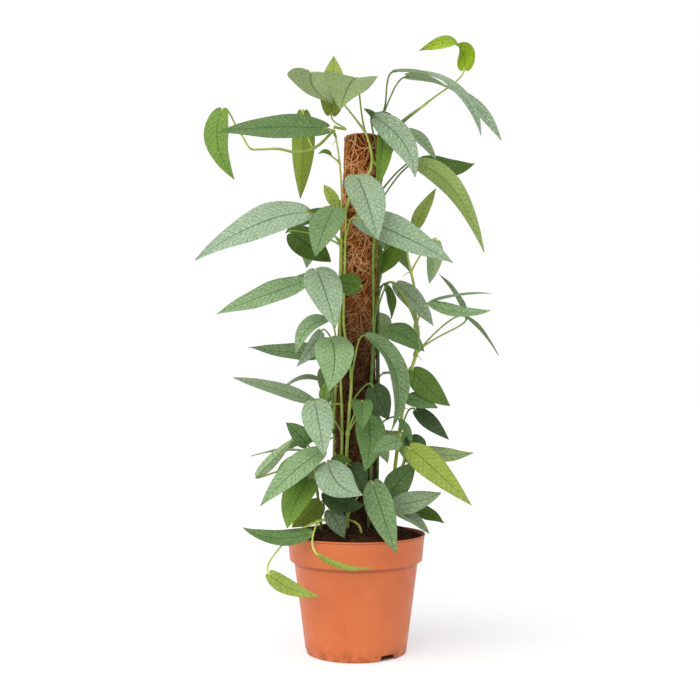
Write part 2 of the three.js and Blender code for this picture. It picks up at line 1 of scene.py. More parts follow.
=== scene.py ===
# %% [markdown]
# # A climbing pothos in its nursery pot
# The plant is a handful of leafy vines tied up a pole wrapped in coconut fibre, in a tapered plastic pot.
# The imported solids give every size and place. This script puts finer pieces over them: turned plastic,
# matted fibre, crumbly soil, and leaves whose veins and colours sit in the skin of each blade.

import math

import bpy
import numpy as np
from mathutils import Matrix, Vector, noise


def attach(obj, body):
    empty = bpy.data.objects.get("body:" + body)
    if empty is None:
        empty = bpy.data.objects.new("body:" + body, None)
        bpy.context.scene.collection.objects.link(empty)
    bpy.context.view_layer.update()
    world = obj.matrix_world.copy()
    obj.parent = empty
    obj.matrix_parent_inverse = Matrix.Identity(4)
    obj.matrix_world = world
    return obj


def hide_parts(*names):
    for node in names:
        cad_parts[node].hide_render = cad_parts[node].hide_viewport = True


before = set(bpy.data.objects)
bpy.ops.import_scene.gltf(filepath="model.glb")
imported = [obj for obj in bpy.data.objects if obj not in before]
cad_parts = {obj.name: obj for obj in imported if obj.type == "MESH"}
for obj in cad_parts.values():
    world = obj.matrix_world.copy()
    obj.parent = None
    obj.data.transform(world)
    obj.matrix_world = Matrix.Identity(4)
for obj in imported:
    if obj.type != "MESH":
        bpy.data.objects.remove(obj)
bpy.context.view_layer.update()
MM = 0.001


# %% [markdown]
# Every piece ends the same way: it becomes an object at the origin, rides on the one body, takes its
# finishes, and may stand for one of the solids. One helper does it, so nothing is forgotten.

# %% Helpers that put finished meshes into the scene
def put_object(name, data):
    made = bpy.data.objects.new(name, data)
    bpy.context.scene.collection.objects.link(made)
    return made


def place_piece(name, mesh, finishes, stands_for=None):
    mesh.materials.clear()
    for finish in finishes:
        mesh.materials.append(finish.material)
    piece = put_object(name, mesh)
    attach(piece, "root")
    if stands_for:
        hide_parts(stands_for)
    print(f"{name}: {len(mesh.polygons)} faces")


def mesh_of(name, points, faces, smooth=True):
    mesh = bpy.data.meshes.new(name)
    mesh.from_pydata([tuple(p) for p in points], [], faces)
    mesh.update()
    if smooth:
        mesh.shade_smooth()
    return mesh


def applied_mesh(host):
    """The mesh of an object with its modifiers applied. The object itself goes away."""
    bpy.context.view_layer.update()
    evaluated = host.evaluated_get(bpy.context.evaluated_depsgraph_get())
    mesh = bpy.data.meshes.new_from_object(evaluated)
    bpy.data.objects.remove(host)
    return mesh


# %% [markdown]
# The pot, the soil and the pole are rings of points, joined by quads.

# %% Helpers for round forms
def circle(turns):
    """Points round a circle of radius one."""
    angles = [2 * math.pi * k / turns for k in range(turns)]
    return [(math.cos(angle), math.sin(angle)) for angle in angles]


def turned_points(profile, turns):
    """Points of a profile of radii and heights, turned about the upright axis."""
    return [(radius * x * MM, radius * y * MM, z * MM) for radius, z in profile for x, y in circle(turns)]


def ring_faces(rings, turns, first=0, closed=False, flip=False):
    """Quads between rings of points. A closed set joins its last ring to its first."""
    faces = []
    for i in range(rings if closed else rings - 1):
        here, there = first + i * turns, first + (i + 1) % rings * turns
        for k in range(turns):
            after = (k + 1) % turns
            quad = (here + k, here + after, there + after, there + k)
            faces.append(quad[:1] + quad[:0:-1] if flip else quad)
    return faces


# %% [markdown]
# A finish is a small tree of shader nodes. Two helpers keep the trees readable: one adds a node and wires
# its inputs, and one names the few steps that most finishes share, such as noise, a blend and a bump.

# %% Helpers for node trees
def add_node(tree, kind, inputs=None, **settings):
    made = tree.nodes.new(kind)
    for key, value in settings.items():
        setattr(made, key, value)
    for key, value in (inputs or {}).items():
        socket = made.inputs[key] if isinstance(key, int) else next(
            s for s in made.inputs if s.name == key and s.enabled
        )
        if isinstance(value, bpy.types.NodeSocket):
            tree.links.new(value, socket)
        else:
            socket.default_value = value
    return made


def paint(code):
    """A colour written #rrggbb, as the linear light that shaders use."""
    parts = [int(code[i:i + 2], 16) / 255 for i in (1, 3, 5)]
    return tuple(((c + 0.055) / 1.055) ** 2.4 if c > 0.04 else c / 12.92 for c in parts) + (1.0,)


class Finish:
    def __init__(self, name, roughness=0.5, gloss=0.5):
        self.material = bpy.data.materials.new(name)
        self.material.use_nodes = True
        self.tree = self.material.node_tree
        self.shader = self.tree.nodes["Principled BSDF"]
        self.set("Roughness", roughness)
        self.set("Specular IOR Level", gloss)

    def set(self, socket, value):
        self.shader.inputs[socket].default_value = value

    def give(self, socket, value):
        self.tree.links.new(value, self.shader.inputs[socket])

    def add(self, kind, inputs=None, **settings):
        return add_node(self.tree, "ShaderNode" + kind, inputs, **settings)

    def place(self):
        return self.add("TexCoord").outputs["Object"]

    def carried(self, name, output="Fac"):
        return self.add("Attribute", attribute_name=name).outputs[output]

    def calc(self, operation, first, second=0.0):
        return self.add("Math", {0: first, 1: second}, operation=operation).outputs[0]

    def times(self, first, second):
        return self.calc("MULTIPLY", first, second)

    def less(self, first, second):
        return self.calc("SUBTRACT", first, second)

    def noise(self, vector, scale, detail=3.0, rough=0.55):
        inputs = {"Vector": vector, "Scale": scale, "Detail": detail, "Roughness": rough}
        return self.add("TexNoise", inputs).outputs[0]

    def spread(self, value, low, high, to_low=0.0, to_high=1.0):
        inputs = {0: value, 1: low, 2: high, 3: to_low, 4: to_high}
        return self.add("MapRange", inputs, interpolation_type="SMOOTHSTEP").outputs[0]

    def blend(self, share, one, other):
        return self.add("Mix", {0: share, 6: one, 7: other}, data_type="RGBA").outputs[2]

    def tones(self, value, low, high, one, other):
        """From one painted colour to another, as the value goes from low to high."""
        return self.blend(self.spread(value, low, high), paint(one), paint(other))

    def stretch(self, vector, scale):
        return self.add("Mapping", {"Vector": vector, "Scale": scale}).outputs[0]

    def bump(self, height, strength, depth):
        inputs = {"Height": height, "Strength": strength, "Distance": depth}
        self.give("Normal", self.add("Bump", inputs).outputs[0])


# %% [markdown]
# Geometry Nodes make what repeats: fibres, crumbs and the skin of every cane. A recipe is a tree with
# named inputs. Growing it on a mesh gives a plain mesh, and the modifier goes away again.

# %% A recipe for Geometry Nodes
class Recipe:
    def __init__(self, name, inputs):
        self.tree = bpy.data.node_groups.new(name, "GeometryNodeTree")
        sockets = self.tree.interface
        for label, kind in {"Geometry": "Geometry", **inputs, "Material": "Material"}.items():
            sockets.new_socket(label, in_out="INPUT", socket_type="NodeSocket" + kind)
        sockets.new_socket("Geometry", in_out="OUTPUT", socket_type="NodeSocketGeometry")
        self.given = self.tree.nodes.new("NodeGroupInput").outputs

    def add(self, kind, inputs=None, output=0, **settings):
        return add_node(self.tree, kind, inputs, **settings).outputs[output]

    def step(self, kind, inputs=None, output=0, **settings):
        return self.add("GeometryNode" + kind, inputs, output, **settings)

    def wrapped(self, curve, sides, radius, **scale):
        """A round skin about a curve."""
        ring = self.step("CurvePrimitiveCircle", {"Resolution": sides, "Radius": radius})
        inputs = {"Curve": curve, "Profile Curve": ring, "Fill Caps": True, **scale}
        return self.step("CurveToMesh", inputs)

    def end(self, geometry):
        whole = self.step("RealizeInstances", {"Geometry": geometry})
        smooth = self.step("SetShadeSmooth", {"Geometry": whole})
        skinned = self.step("SetMaterial", {"Geometry": smooth, "Material": self.given["Material"]})
        add_node(self.tree, "NodeGroupOutput", {0: skinned})

    def grow(self, name, slot, mesh, finish, values):
        host = put_object(name + "_host", mesh)
        modifier = host.modifiers.new(name, "NODES")
        modifier.node_group = self.tree
        values = {**values, "Material": finish.material}
        for item in self.tree.interface.items_tree:
            if item.in_out == "INPUT" and item.name in values:
                modifier[item.identifier] = values[item.name]
        place_piece(name, applied_mesh(host), [finish])


# %% [markdown]
# Crumbs and fibres share most of their steps: points are strewn on a ground, each thing gets its own turn,
# size and shade, and a noise shifts its points. The same numbers come out on every run, because the draws
# have fixed seeds.

# %% Steps that crumbs and fibres share
class Strewn(Recipe):
    def points(self):
        given = self.given
        return add_node(self.tree, "GeometryNodeDistributePointsOnFaces", {
            "Mesh": given["Geometry"], "Density": given["Per square metre"], "Seed": given["Seed"],
        }).outputs

    def random(self, low, high, seed):
        """A number, or a vector, drawn for each thing."""
        kind, output = ("FLOAT_VECTOR", 0) if isinstance(low, tuple) else ("FLOAT", 1)
        inputs = {"Min": low, "Max": high, "Seed": seed}
        return self.add("FunctionNodeRandomValue", inputs, output, data_type=kind)

    def vector(self, operation, first, second):
        inputs = {0: first, "Scale" if operation == "SCALE" else 1: second}
        return self.add("ShaderNodeVectorMath", inputs, operation=operation)

    def product(self, first, second):
        return self.add("ShaderNodeMath", {0: first, 1: second}, operation="MULTIPLY")

    def noise(self, scale, output):
        return self.add("ShaderNodeTexNoise", {"Scale": scale, "Detail": 1.0}, output)

    def shaded(self, things, name, shade):
        """Makes the things real, and each keeps its shade under this name."""
        inputs = {"Geometry": things, "Name": name, "Value": shade}
        kept = self.step("StoreNamedAttribute", inputs, data_type="FLOAT", domain="INSTANCE")
        return self.step("RealizeInstances", {"Geometry": kept})

    def shifted(self, geometry, scale, size):
        """Shifts the points by a noise of this scale, about as far as this size."""
        centred = self.vector("SUBTRACT", self.noise(scale, "Color"), (0.5, 0.5, 0.5))
        offset = self.vector("SCALE", centred, size)
        return self.step("SetPosition", {"Geometry": geometry, "Offset": offset})


# %% [markdown]
# ## The pot
# A nursery pot is moulded from orange plastic: a thin tapered wall, a deeper band at the rim, a small lip
# bead and a foot ring. It is a turned shape, so it is made by turning a profile. The profile repeats the
# sizes of the solids' source, with the corners rounded.

# %% Sizes of the pot, in millimetres
POT_HEIGHT, POT_LIP, POT_BAND, POT_SHOULDER, POT_FOOT = 144.6, 85.0, 81.2, 75.8, 61.5
BAND_FOOT = POT_HEIGHT - 32
SHOULDER_FOOT = BAND_FOOT - 3.7
LIP_FOOT = POT_HEIGHT - 1.6
RIM = POT_LIP - 0.7
WALL = 1.5
FLOOR_UNDER, FLOOR_TOP = 7.6, 9.2
PAD = 14.0
POT_TURNS = 160


def wall_inner_at(z):
    if z > BAND_FOOT:
        outer = POT_BAND + (RIM - POT_BAND) * (z - BAND_FOOT) / (POT_HEIGHT - BAND_FOOT)
    else:
        outer = POT_FOOT + (POT_SHOULDER - POT_FOOT) * z / SHOULDER_FOOT
    return outer - WALL


pot_profile = [
    (POT_FOOT - WALL - 0.4, 0), (POT_FOOT - 1.0, 0), (POT_FOOT - 0.2, 0.25), (POT_FOOT + 0.2, 1.4),
    (POT_FOOT + 0.6, 4.0), (POT_SHOULDER - 0.2, SHOULDER_FOOT - 0.9),
    (POT_SHOULDER + 0.3, SHOULDER_FOOT + 0.2),
    (POT_BAND - 1.0, BAND_FOOT - 0.7), (POT_BAND - 0.25, BAND_FOOT - 0.15), (POT_BAND, BAND_FOOT + 0.7),
    (RIM - 0.05, LIP_FOOT - 0.35), (RIM + 0.1, LIP_FOOT), (POT_LIP - 0.15, LIP_FOOT + 0.1),
    (POT_LIP, LIP_FOOT + 0.45), (POT_LIP - 0.05, POT_HEIGHT - 0.5), (POT_LIP - 0.4, POT_HEIGHT - 0.1),
    (POT_LIP - 0.9, POT_HEIGHT), (RIM - WALL + 0.2, POT_HEIGHT - 0.1), (RIM - WALL - 0.1, POT_HEIGHT - 0.6),
    (POT_BAND - WALL, BAND_FOOT + 1.2), (POT_SHOULDER - WALL, SHOULDER_FOOT - 0.6),
    (wall_inner_at(FLOOR_TOP), FLOOR_TOP), (1.0, FLOOR_TOP), (1.0, 0), (PAD - 0.5, 0), (PAD, 0.5),
    (PAD + 1, FLOOR_UNDER), (POT_FOOT - WALL, FLOOR_UNDER),
]

# %% [markdown]
# The notches let water out from under the pot, and its floor has six holes. Each one is cut by a plain
# block or rod with a boolean, which leaves the clean thin edges of moulded plastic.

# %% Cut the notches and the drain holes
NOTCHES, NOTCH_TURN, NOTCH_DEPTH = 3, 37, 14
NOTCH = [(-12, -1), (12, -1), (9.5, 6.3), (8.6, 7), (-8.6, 7), (-9.5, 6.3)]
DRAINS, DRAIN_RADIUS, DRAIN_REACH = 6, 4, 40
POT_SHARP = math.radians(38)


def cutter(name, outline, depth, matrix):
    low = [(x * MM, y * MM, 0) for x, y in outline]
    high = [(x * MM, y * MM, depth * MM) for x, y in outline]
    count = len(outline)
    sides = [(k, (k + 1) % count, (k + 1) % count + count, k + count) for k in range(count)]
    faces = [tuple(reversed(range(count))), tuple(range(count, 2 * count)), *sides]
    mesh = mesh_of(name, low + high, faces, smooth=False)
    mesh.transform(matrix)
    return put_object(name, mesh)


def pot_cutters():
    """Three notches under the foot ring and six round drain holes."""
    made = []
    upright = Matrix.Rotation(math.radians(90), 4, "X")
    for k in range(NOTCHES):
        turn = Matrix.Rotation(math.radians(NOTCH_TURN + 360 / NOTCHES * k), 4, "Z")
        place = turn @ Matrix.Translation((0, -(POT_FOOT - NOTCH_DEPTH / 2) * MM, 0)) @ upright
        made.append(cutter(f"notch{k}", NOTCH, NOTCH_DEPTH, place))
    hole = [(DRAIN_RADIUS * x, DRAIN_RADIUS * y) for x, y in circle(24)]
    reach, under = DRAIN_REACH * MM, (FLOOR_UNDER - 1) * MM
    for k in range(DRAINS):
        turn = math.radians(360 / DRAINS * (k + 0.5))
        spot = (reach * math.sin(turn), reach * math.cos(turn), under)
        made.append(cutter(f"drain{k}", hole, 4, Matrix.Translation(spot)))
    return made


pot_faces = ring_faces(len(pot_profile), POT_TURNS, closed=True)
pot_blank = put_object("pot_blank", mesh_of("pot", turned_points(pot_profile, POT_TURNS), pot_faces))
cutters = pot_cutters()
for tool in cutters:
    cut = pot_blank.modifiers.new(tool.name, "BOOLEAN")
    cut.operation, cut.solver, cut.object = "DIFFERENCE", "EXACT", tool
pot_mesh = applied_mesh(pot_blank)
for tool in cutters:
    bpy.data.objects.remove(tool)
pot_mesh.shade_smooth()
pot_mesh.set_sharp_from_angle(angle=POT_SHARP)

# %% [markdown]
# The plastic is semi-matte. What makes it look real is small: a faint orange peel in the gloss, cloudy
# colour, pale scuffs where pots rub together, and a little dust low on the wall.

# %% Finish of the plastic
plastic = Finish("terracotta plastic", gloss=0.42)
spot = plastic.place()
orange = plastic.tones(plastic.noise(spot, 14, 4), 0.3, 0.7, "#cb6633", "#d2703b")
scuff_lines = plastic.noise(plastic.stretch(spot, (1, 1, 9)), 55, 6, 0.7)
scuffs = plastic.spread(scuff_lines, 0.6, 0.76, 0, 0.4)
worn = plastic.blend(scuffs, orange, paint("#e6a27e"))
height_up = plastic.add("SeparateXYZ", {0: spot}).outputs[2]


def painted_shade_ring(low, high, fade):
    """A ring of painted shade between two heights, both in millimetres."""
    above = plastic.spread(height_up, (low - fade) * MM, low * MM)
    below = plastic.spread(height_up, high * MM, (high + fade) * MM, 1.0, 0.0)
    return plastic.times(above, below)


# The rings under the lip and under the band are painted shade, where lip and band shade the wall below
# them.
shade_under_lip = painted_shade_ring(LIP_FOOT - 1.0, LIP_FOOT - 0.2, 0.3)
shade_under_band = painted_shade_ring(SHOULDER_FOOT - 0.6, BAND_FOOT - 0.9, 1.4)
patchy = plastic.spread(plastic.noise(spot, 70, 5, 0.7), 0.38, 0.66)
pits = plastic.noise(plastic.stretch(spot, (1, 1, 1.7)), 330, 4, 0.7)
streaks = plastic.noise(plastic.stretch(spot, (1, 1, 0.25)), 130, 5, 0.75)
grime_and_shade = plastic.times(plastic.spread(height_up, 0.0, 0.02, 0.75, 0.0), patchy)
# The patchy dust at the foot, the pits and the streaks are dirt; the two rings are painted shade.
for dirt_and_shade in (
    plastic.times(shade_under_lip, 0.6),
    plastic.times(shade_under_band, 0.5),
    plastic.spread(pits, 0.68, 0.74, 0, 0.55),
    plastic.spread(streaks, 0.62, 0.72, 0, 0.25),
):
    grime_and_shade = plastic.calc("MAXIMUM", grime_and_shade, dirt_and_shade)
plastic.give("Base Color", plastic.blend(grime_and_shade, worn, paint("#7c3414")))
plastic.give("Roughness", plastic.spread(plastic.noise(spot, 90, 4), 0.25, 0.75, 0.36, 0.56))
plastic.bump(plastic.noise(spot, 900, 2), 0.12, 0.0002)
place_piece("nursery_pot", pot_mesh, [plastic], "pot")


# %% [markdown]
# ## Soil
# Potting soil is dark, damp and uneven, and it mounds up towards the pole. A body with a noisy top fills
# the pot, and crumbs and bits of fibre are strewn over it with Geometry Nodes.

# %% The body of the soil
SOIL_EDGE, SOIL_CROWN, SOIL_GAP, SOIL_LUMPS = 139.5, 155.0, 0.4, 1.6
SOIL_REACH = wall_inner_at(SOIL_EDGE) - SOIL_GAP


def soil_top(x, y):
    radius = min(1.0, math.hypot(x, y) / SOIL_REACH)
    mound = SOIL_CROWN - (SOIL_CROWN - SOIL_EDGE) * radius ** 2
    lumps = noise.fractal(Vector((x * 0.05, y * 0.05, 3.0)), 0.9, 2.1, 5)
    return mound + SOIL_LUMPS * lumps * (1 - 0.5 * radius ** 6)


def soil_points(radii, turns):
    """Points of the soil's top, on rings of these radii."""
    flat = [(radius * x, radius * y) for radius in radii for x, y in circle(turns)]
    return [(x * MM, y * MM, soil_top(x, y) * MM) for x, y in flat]


def soil_mesh():
    turns, rings = 160, 42
    walls = [
        (POT_BAND - WALL - SOIL_GAP, BAND_FOOT + 1.7),
        (POT_SHOULDER - WALL - SOIL_GAP, SHOULDER_FOOT - 0.4),
        (wall_inner_at(FLOOR_TOP) - SOIL_GAP, FLOOR_TOP + 0.3),
        (20, FLOOR_TOP + 0.3),
    ]
    points = [(0, 0, soil_top(0, 0) * MM)]
    points += soil_points([SOIL_REACH * i / rings for i in range(1, rings + 1)], turns)
    points += turned_points(walls, turns)
    faces = [(0, 1 + k, 1 + (k + 1) % turns) for k in range(turns)]
    faces += ring_faces(rings + len(walls), turns, first=1, flip=True)
    faces.append(tuple(reversed(range(len(points) - turns, len(points)))))
    return mesh_of("soil", points, faces)


def ground_patch():
    """The open top of the soil, where things lie."""
    turns, rings = 90, 24
    inner, outer = 0.5, wall_inner_at(SOIL_EDGE) - 2.0
    radii = [inner + (outer - inner) * i / rings for i in range(rings + 1)]
    return mesh_of("ground", soil_points(radii, turns), ring_faces(rings + 1, turns, flip=True))


# %% [markdown]
# Damp peat is nearly black, with browner grains and a few reddish ones. One function makes the finish
# of the body and of the crumbs, and a crumb also carries its own shade, so no two look alike.

# %% Finish of the soil and its crumbs
def earth_finish(name, tone_name=None):
    made = Finish(name, 0.93, 0.25)
    spot = made.place()
    colour = made.tones(made.noise(spot, 420, 6, 0.7), 0.35, 0.7, "#21150e", "#4b3222")
    if tone_name:
        shade = made.carried(tone_name)
        colour = made.blend(made.spread(shade, 0.4, 1.0, 0, 0.75), colour, paint("#6b4a33"))
    red = made.spread(made.noise(spot, 130, 3), 0.55, 0.7, 0, 0.5)
    made.give("Base Color", made.blend(red, colour, paint("#5a2f1a")))
    made.bump(made.noise(spot, 700, 5, 0.7), 0.8, 0.0012)
    return made


place_piece("potting_soil", soil_mesh(), [earth_finish("damp soil")], "soil")


# %% [markdown]
# The crumbs are small rough balls. The tree drops points on the ground, puts a ball on each, gives it its
# own size, turn and shade, and then roughens the lot.

# %% A recipe for crumbs
crumbs = Strewn("Crumbs", {"Per square metre": "Float", "Size": "Float", "Seed": "Int"})
crumb_ball = crumbs.step("MeshIcoSphere", {"Radius": crumbs.given["Size"], "Subdivisions": 2})
crumb_set = crumbs.step("InstanceOnPoints", {
    "Points": crumbs.points()["Points"], "Instance": crumb_ball,
    "Rotation": crumbs.random((0, 0, 0), (6.28, 6.28, 6.28), 2),
    "Scale": crumbs.random((0.35, 0.35, 0.3), (1.5, 1.2, 1.0), 3),
})
crumb_whole = crumbs.shaded(crumb_set, "crumb_shade", crumbs.random(0.0, 1.0, 4))
crumbs.end(crumbs.shifted(crumb_whole, 900.0, 1.6 * MM))
crumbs.grow(
    "soil_crumbs", "potting_soil", ground_patch(), earth_finish("soil crumbs", "crumb_shade"),
    {"Per square metre": 110000.0, "Size": 1.25 * MM, "Seed": 8})


# %% [markdown]
# ## The pole
# The climbing pole is a wooden core wrapped in a mat of coconut fibre. The mat is a lumpy tube, thicker
# at the foot, and it leans a little. Its look comes from thousands of single fibres, so the tree below
# lays short lines on the mat, bends each one down onto the surface and gives it a thin round skin.

# %% The form of the pole
SLEEVE_FOOT, POLE_TOP = 118.0, 631.0
UPPER_RADIUS, LOWER_RADIUS, WAIST = 20.5, 23.5, 335.0
LEAN_FOOT, LEAN_TOP = -3.0, 7.5
CORE_RADIUS, LUMPS, FIBRES_FOOT = 11.4, 1.5, 140


def lean_at(z):
    return LEAN_FOOT + (LEAN_TOP - LEAN_FOOT) * (z - SLEEVE_FOOT) / (POLE_TOP - SLEEVE_FOOT)


def sleeve_radius_at(z):
    share = min(1.0, max(0.0, (z - WAIST + 35) / 60))
    share = share * share * (3 - 2 * share)
    return LOWER_RADIUS + (UPPER_RADIUS - LOWER_RADIUS) * share


def pole_points(rings, turns):
    """Points on rings round the leaning pole. A ring is its radius, its height and its roughness."""
    points = []
    for radius, z, rough in rings:
        for x, y in circle(turns):
            lumps = noise.fractal(Vector((x * 1.6, y * 1.6, z * 0.06)), 0.8, 2.2, 6)
            reach = radius + rough * LUMPS * lumps
            points.append(((lean_at(z) + reach * x) * MM, reach * y * MM, z * MM))
    return points


def mat_mesh():
    """A lumpy tube with a rolled top edge and an inner wall round the core."""
    turns, rows = 96, 240
    heights = [SLEEVE_FOOT + (POLE_TOP - SLEEVE_FOOT) * i / rows for i in range(rows + 1)]
    rings = [(sleeve_radius_at(z) - 1.0, z, 1.0) for z in heights]
    rings += [(17.0, POLE_TOP + 0.4, 0.8), (13.0, POLE_TOP - 0.6, 0.5), (CORE_RADIUS, POLE_TOP - 3, 0)]
    rings += [(CORE_RADIUS, SLEEVE_FOOT + 3, 0), (13.0, SLEEVE_FOOT, 0)]
    return mesh_of("mat", pole_points(rings, turns), ring_faces(len(rings), turns, closed=True))


def mat_skin():
    """The outer face of the mat above the soil, which is where fibres lie."""
    turns, rows = 48, 90
    heights = [FIBRES_FOOT + (POLE_TOP - 1 - FIBRES_FOOT) * i / rows for i in range(rows + 1)]
    rings = [(sleeve_radius_at(z) - 0.9, z, 0) for z in heights]
    return mesh_of("mat_skin", pole_points(rings, turns), ring_faces(len(rings), turns))


# %% [markdown]
# Between the fibres the mat is felted and dark, partly with painted shade for the shaded gaps under the
# fibres, so that the fibres stand out on it. Each fibre carries its own shade, from red-brown to straw.
# One share, by height, makes the mat and the fibres alike darker towards the bottom of the pole.

# %% Finish of the mat and of its fibres
def darker_below_share(made):
    """The lower half of the pole is darker, with an uneven border."""
    spot = made.place()
    height = made.add("SeparateXYZ", {0: spot}).outputs[2]
    uneven = made.times(made.noise(spot, 24, 2), 0.08)
    return made.spread(made.calc("ADD", height, uneven), 0.38, 0.52, 0.85, 0.0)


coir_mat = Finish("coir mat", 0.95, 0.2)
felt = coir_mat.noise(coir_mat.stretch(coir_mat.place(), (1, 1, 0.5)), 260, 6, 0.75)
# The felt's colour runs down to near black: partly its own dark brown, partly painted shade for the shaded
# gaps under the fibres.
mat_brown_and_gap_shade = coir_mat.tones(felt, 0.35, 0.7, "#1a0a03", "#63300f")
coir_mat.give("Base Color", coir_mat.blend(darker_below_share(coir_mat), mat_brown_and_gap_shade, paint("#1d0e06")))
coir_mat.bump(felt, 0.9, 0.002)

coir_fibre = Finish("coir fibre", 0.6, 0.15)
strand_shade = coir_fibre.carried("strand_shade")
red_brown = coir_fibre.tones(strand_shade, 0.0, 0.5, "#64300f", "#c06c28")
strand_brown = coir_fibre.blend(
    coir_fibre.spread(strand_shade, 0.5, 1.0), red_brown, paint("#ffcb90"))
coir_fibre.give("Base Color", coir_fibre.blend(darker_below_share(coir_fibre), strand_brown, paint("#2b1206")))
place_piece("coir_mat", mat_mesh(), [coir_mat], "coir_sleeve")

# %% [markdown]
# A fibre starts as a short straight line on a point of the mat, turned and stretched at random. Then all
# fibres are curled by a noise, brought back to the nearest place of the mat and lifted off it a little.

# %% A recipe for fibres that lie on a surface
fibres = Strewn("Fibres", {
    "Per square metre": "Float", "Length": "Float", "Thickness": "Float", "Lift": "Float",
    "Curl": "Float", "Seed": "Int", "Darkest": "Float", "Lightest": "Float",
})
given = fibres.given
ground = given["Geometry"]
far_end = fibres.add("ShaderNodeCombineXYZ", {"X": fibres.product(given["Length"], 0.5)})
near_end = fibres.vector("SCALE", far_end, -1.0)
line = fibres.step("CurvePrimitiveLine", {"Start": near_end, "End": far_end})
roots = fibres.points()
spin = fibres.add("FunctionNodeEulerToRotation", {0: fibres.random((0, 0, 0), (0, 0, 6.283), 11)})
laid = fibres.add("FunctionNodeRotateRotation", {0: roots["Rotation"], 1: spin}, rotation_space="LOCAL")
strands = fibres.step("InstanceOnPoints", {
    "Points": roots["Points"], "Instance": fibres.step("ResampleCurve", {"Curve": line, "Count": 6}),
    "Rotation": laid, "Scale": fibres.random(0.35, 1.25, 12),
})
shade = fibres.random(given["Darkest"], given["Lightest"], 13)
curly = fibres.shifted(fibres.shaded(strands, "strand_shade", shade), 70.0, given["Curl"])
nearest = fibres.step("Proximity", {0: ground}, "Position", target_element="FACES")
outwards = fibres.step("SampleNearestSurface", {
    "Mesh": ground, "Value": fibres.step("InputNormal"),
}, "Value", data_type="FLOAT_VECTOR")
rise = fibres.product(fibres.noise(160.0, 0), given["Lift"])
settled_place = fibres.vector("ADD", nearest, fibres.vector("SCALE", outwards, rise))
settled = fibres.step("SetPosition", {"Geometry": curly, "Position": settled_place})
fibres.end(fibres.wrapped(settled, 3, given["Thickness"]))

# %% [markdown]
# Two layers cover the mat: thin dark fibres lie close to it, and fewer thick pale ones stand off it. A
# few short bits have fallen on the soil. A row gives the slot, the ground, how many a square metre gets,
# the seed, the darkest and lightest shade, and then the sizes in millimetres.

# %% Wrap the pole, and strew bits of fibre on the soil
FIBRE_SIZES = ("Length", "Thickness", "Lift", "Curl")
FIBRE_LAYERS = {
    "coir_fibres": ("coir", mat_skin, 90000.0, 21, (0.0, 0.62), (32, 0.22, 2.6, 11)),
    "coir_loose_fibres": ("coir", mat_skin, 34000.0, 22, (0.4, 1.0), (40, 0.34, 4.4, 14)),
    "soil_fibre_bits": ("potting_soil", ground_patch, 26000.0, 4, (0.0, 1.0), (11, 0.28, 4.0, 7)),
}
for layer, (slot, surface, density, seed, shades, sizes) in FIBRE_LAYERS.items():
    values = {label: size * MM for label, size in zip(FIBRE_SIZES, sizes)}
    values |= {"Per square metre": density, "Seed": seed, "Darkest": shades[0], "Lightest": shades[1]}
    fibres.grow(layer, slot, surface(), coir_fibre, values)

# %% [markdown]
# Only the end of the core shows, at the top of the pole. Its solid keeps the shape, and it gets a plain
# sawn wood with the grain running along it.

# %% Finish of the core
timber = Finish("sawn wood", 0.8, 0.3)
grain = timber.noise(timber.stretch(timber.place(), (1, 1, 0.06)), 340, 5, 0.6)
timber.give("Base Color", timber.tones(grain, 0.35, 0.7, "#6d4727", "#b98a58"))
timber.bump(grain, 0.4, 0.0006)
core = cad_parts["pole_stake"]
core.data.materials.clear()
core.data.materials.append(timber.material)


# %% [markdown]
# ## The vines
# Each vine is a few lines of numbers: the spots that its stems pass, and a row for every leaf. The rows
# are the same as in the solids' source, in millimetres and degrees: height of the node, base and tip of
# the blade, greatest width, the way its upper side faces, arch of the midrib, fold, twist, and then the
# tone. A spot of two numbers is an angle round the pole and a height. An arch of three numbers is the
# spot that the midrib passes halfway.

# %% The vines' rows
VINES = {}
VINES["front_left"] = {"stems": [
    [[-32, 132], [-38, 200], [-40, 280], [-58, 345], [-68, 400], [-68, 450], [-68, 540],
     [-14, -16, 590], [-9, -18, 622], [-6, -15, 641], [0, -14, 658], [0, -14, 672]],
], "leaves": [
    [505, [-26, -42, 536], [-47, -86, 471], 41, [-10, 30], 5, 6, 0, "jade"],
    [520, [-23, -26, 541], [-39, -22, 568], 15, [-20, 30], 3, 10, 0, "pear"],
    [430, [-47, -38, 463], [-24, -84, 390], 44, [5, 25], 6, 8, 0, "silver"],
    [350, [-31, -46, 381], [-31, -104, 317], 46, [0, 45], [-25, -80, 354], 5, 0, "mint"],
    [282, [-49, -49, 307], [-36, -90, 244], 37, [-5, 28], 5, 6, 0, "silver"],
    [285, [-38, -34, 307], [-37, -32, 330], 14, [0, 20], 2, 8, 0, "grass"],
    [208, [-33, -66, 235], [7, -114, 202], 42, [-5, 36], [-19, -92, 211], 4, 0, "silver"],
    [212, [-30, -54, 236], [-5, -60, 236], 18, [0, 50], 2, 8, 0, "moss"],
    [172, [-36, -52, 200], [10, -78, 188], 28, [0, 35], [-13, -68, 186], 10, 0, "deep"],
    [172, [-31, -62, 180], [-14, -72, 148], 24, [0, 30], 3, 8, 0, "dusk"],
]}
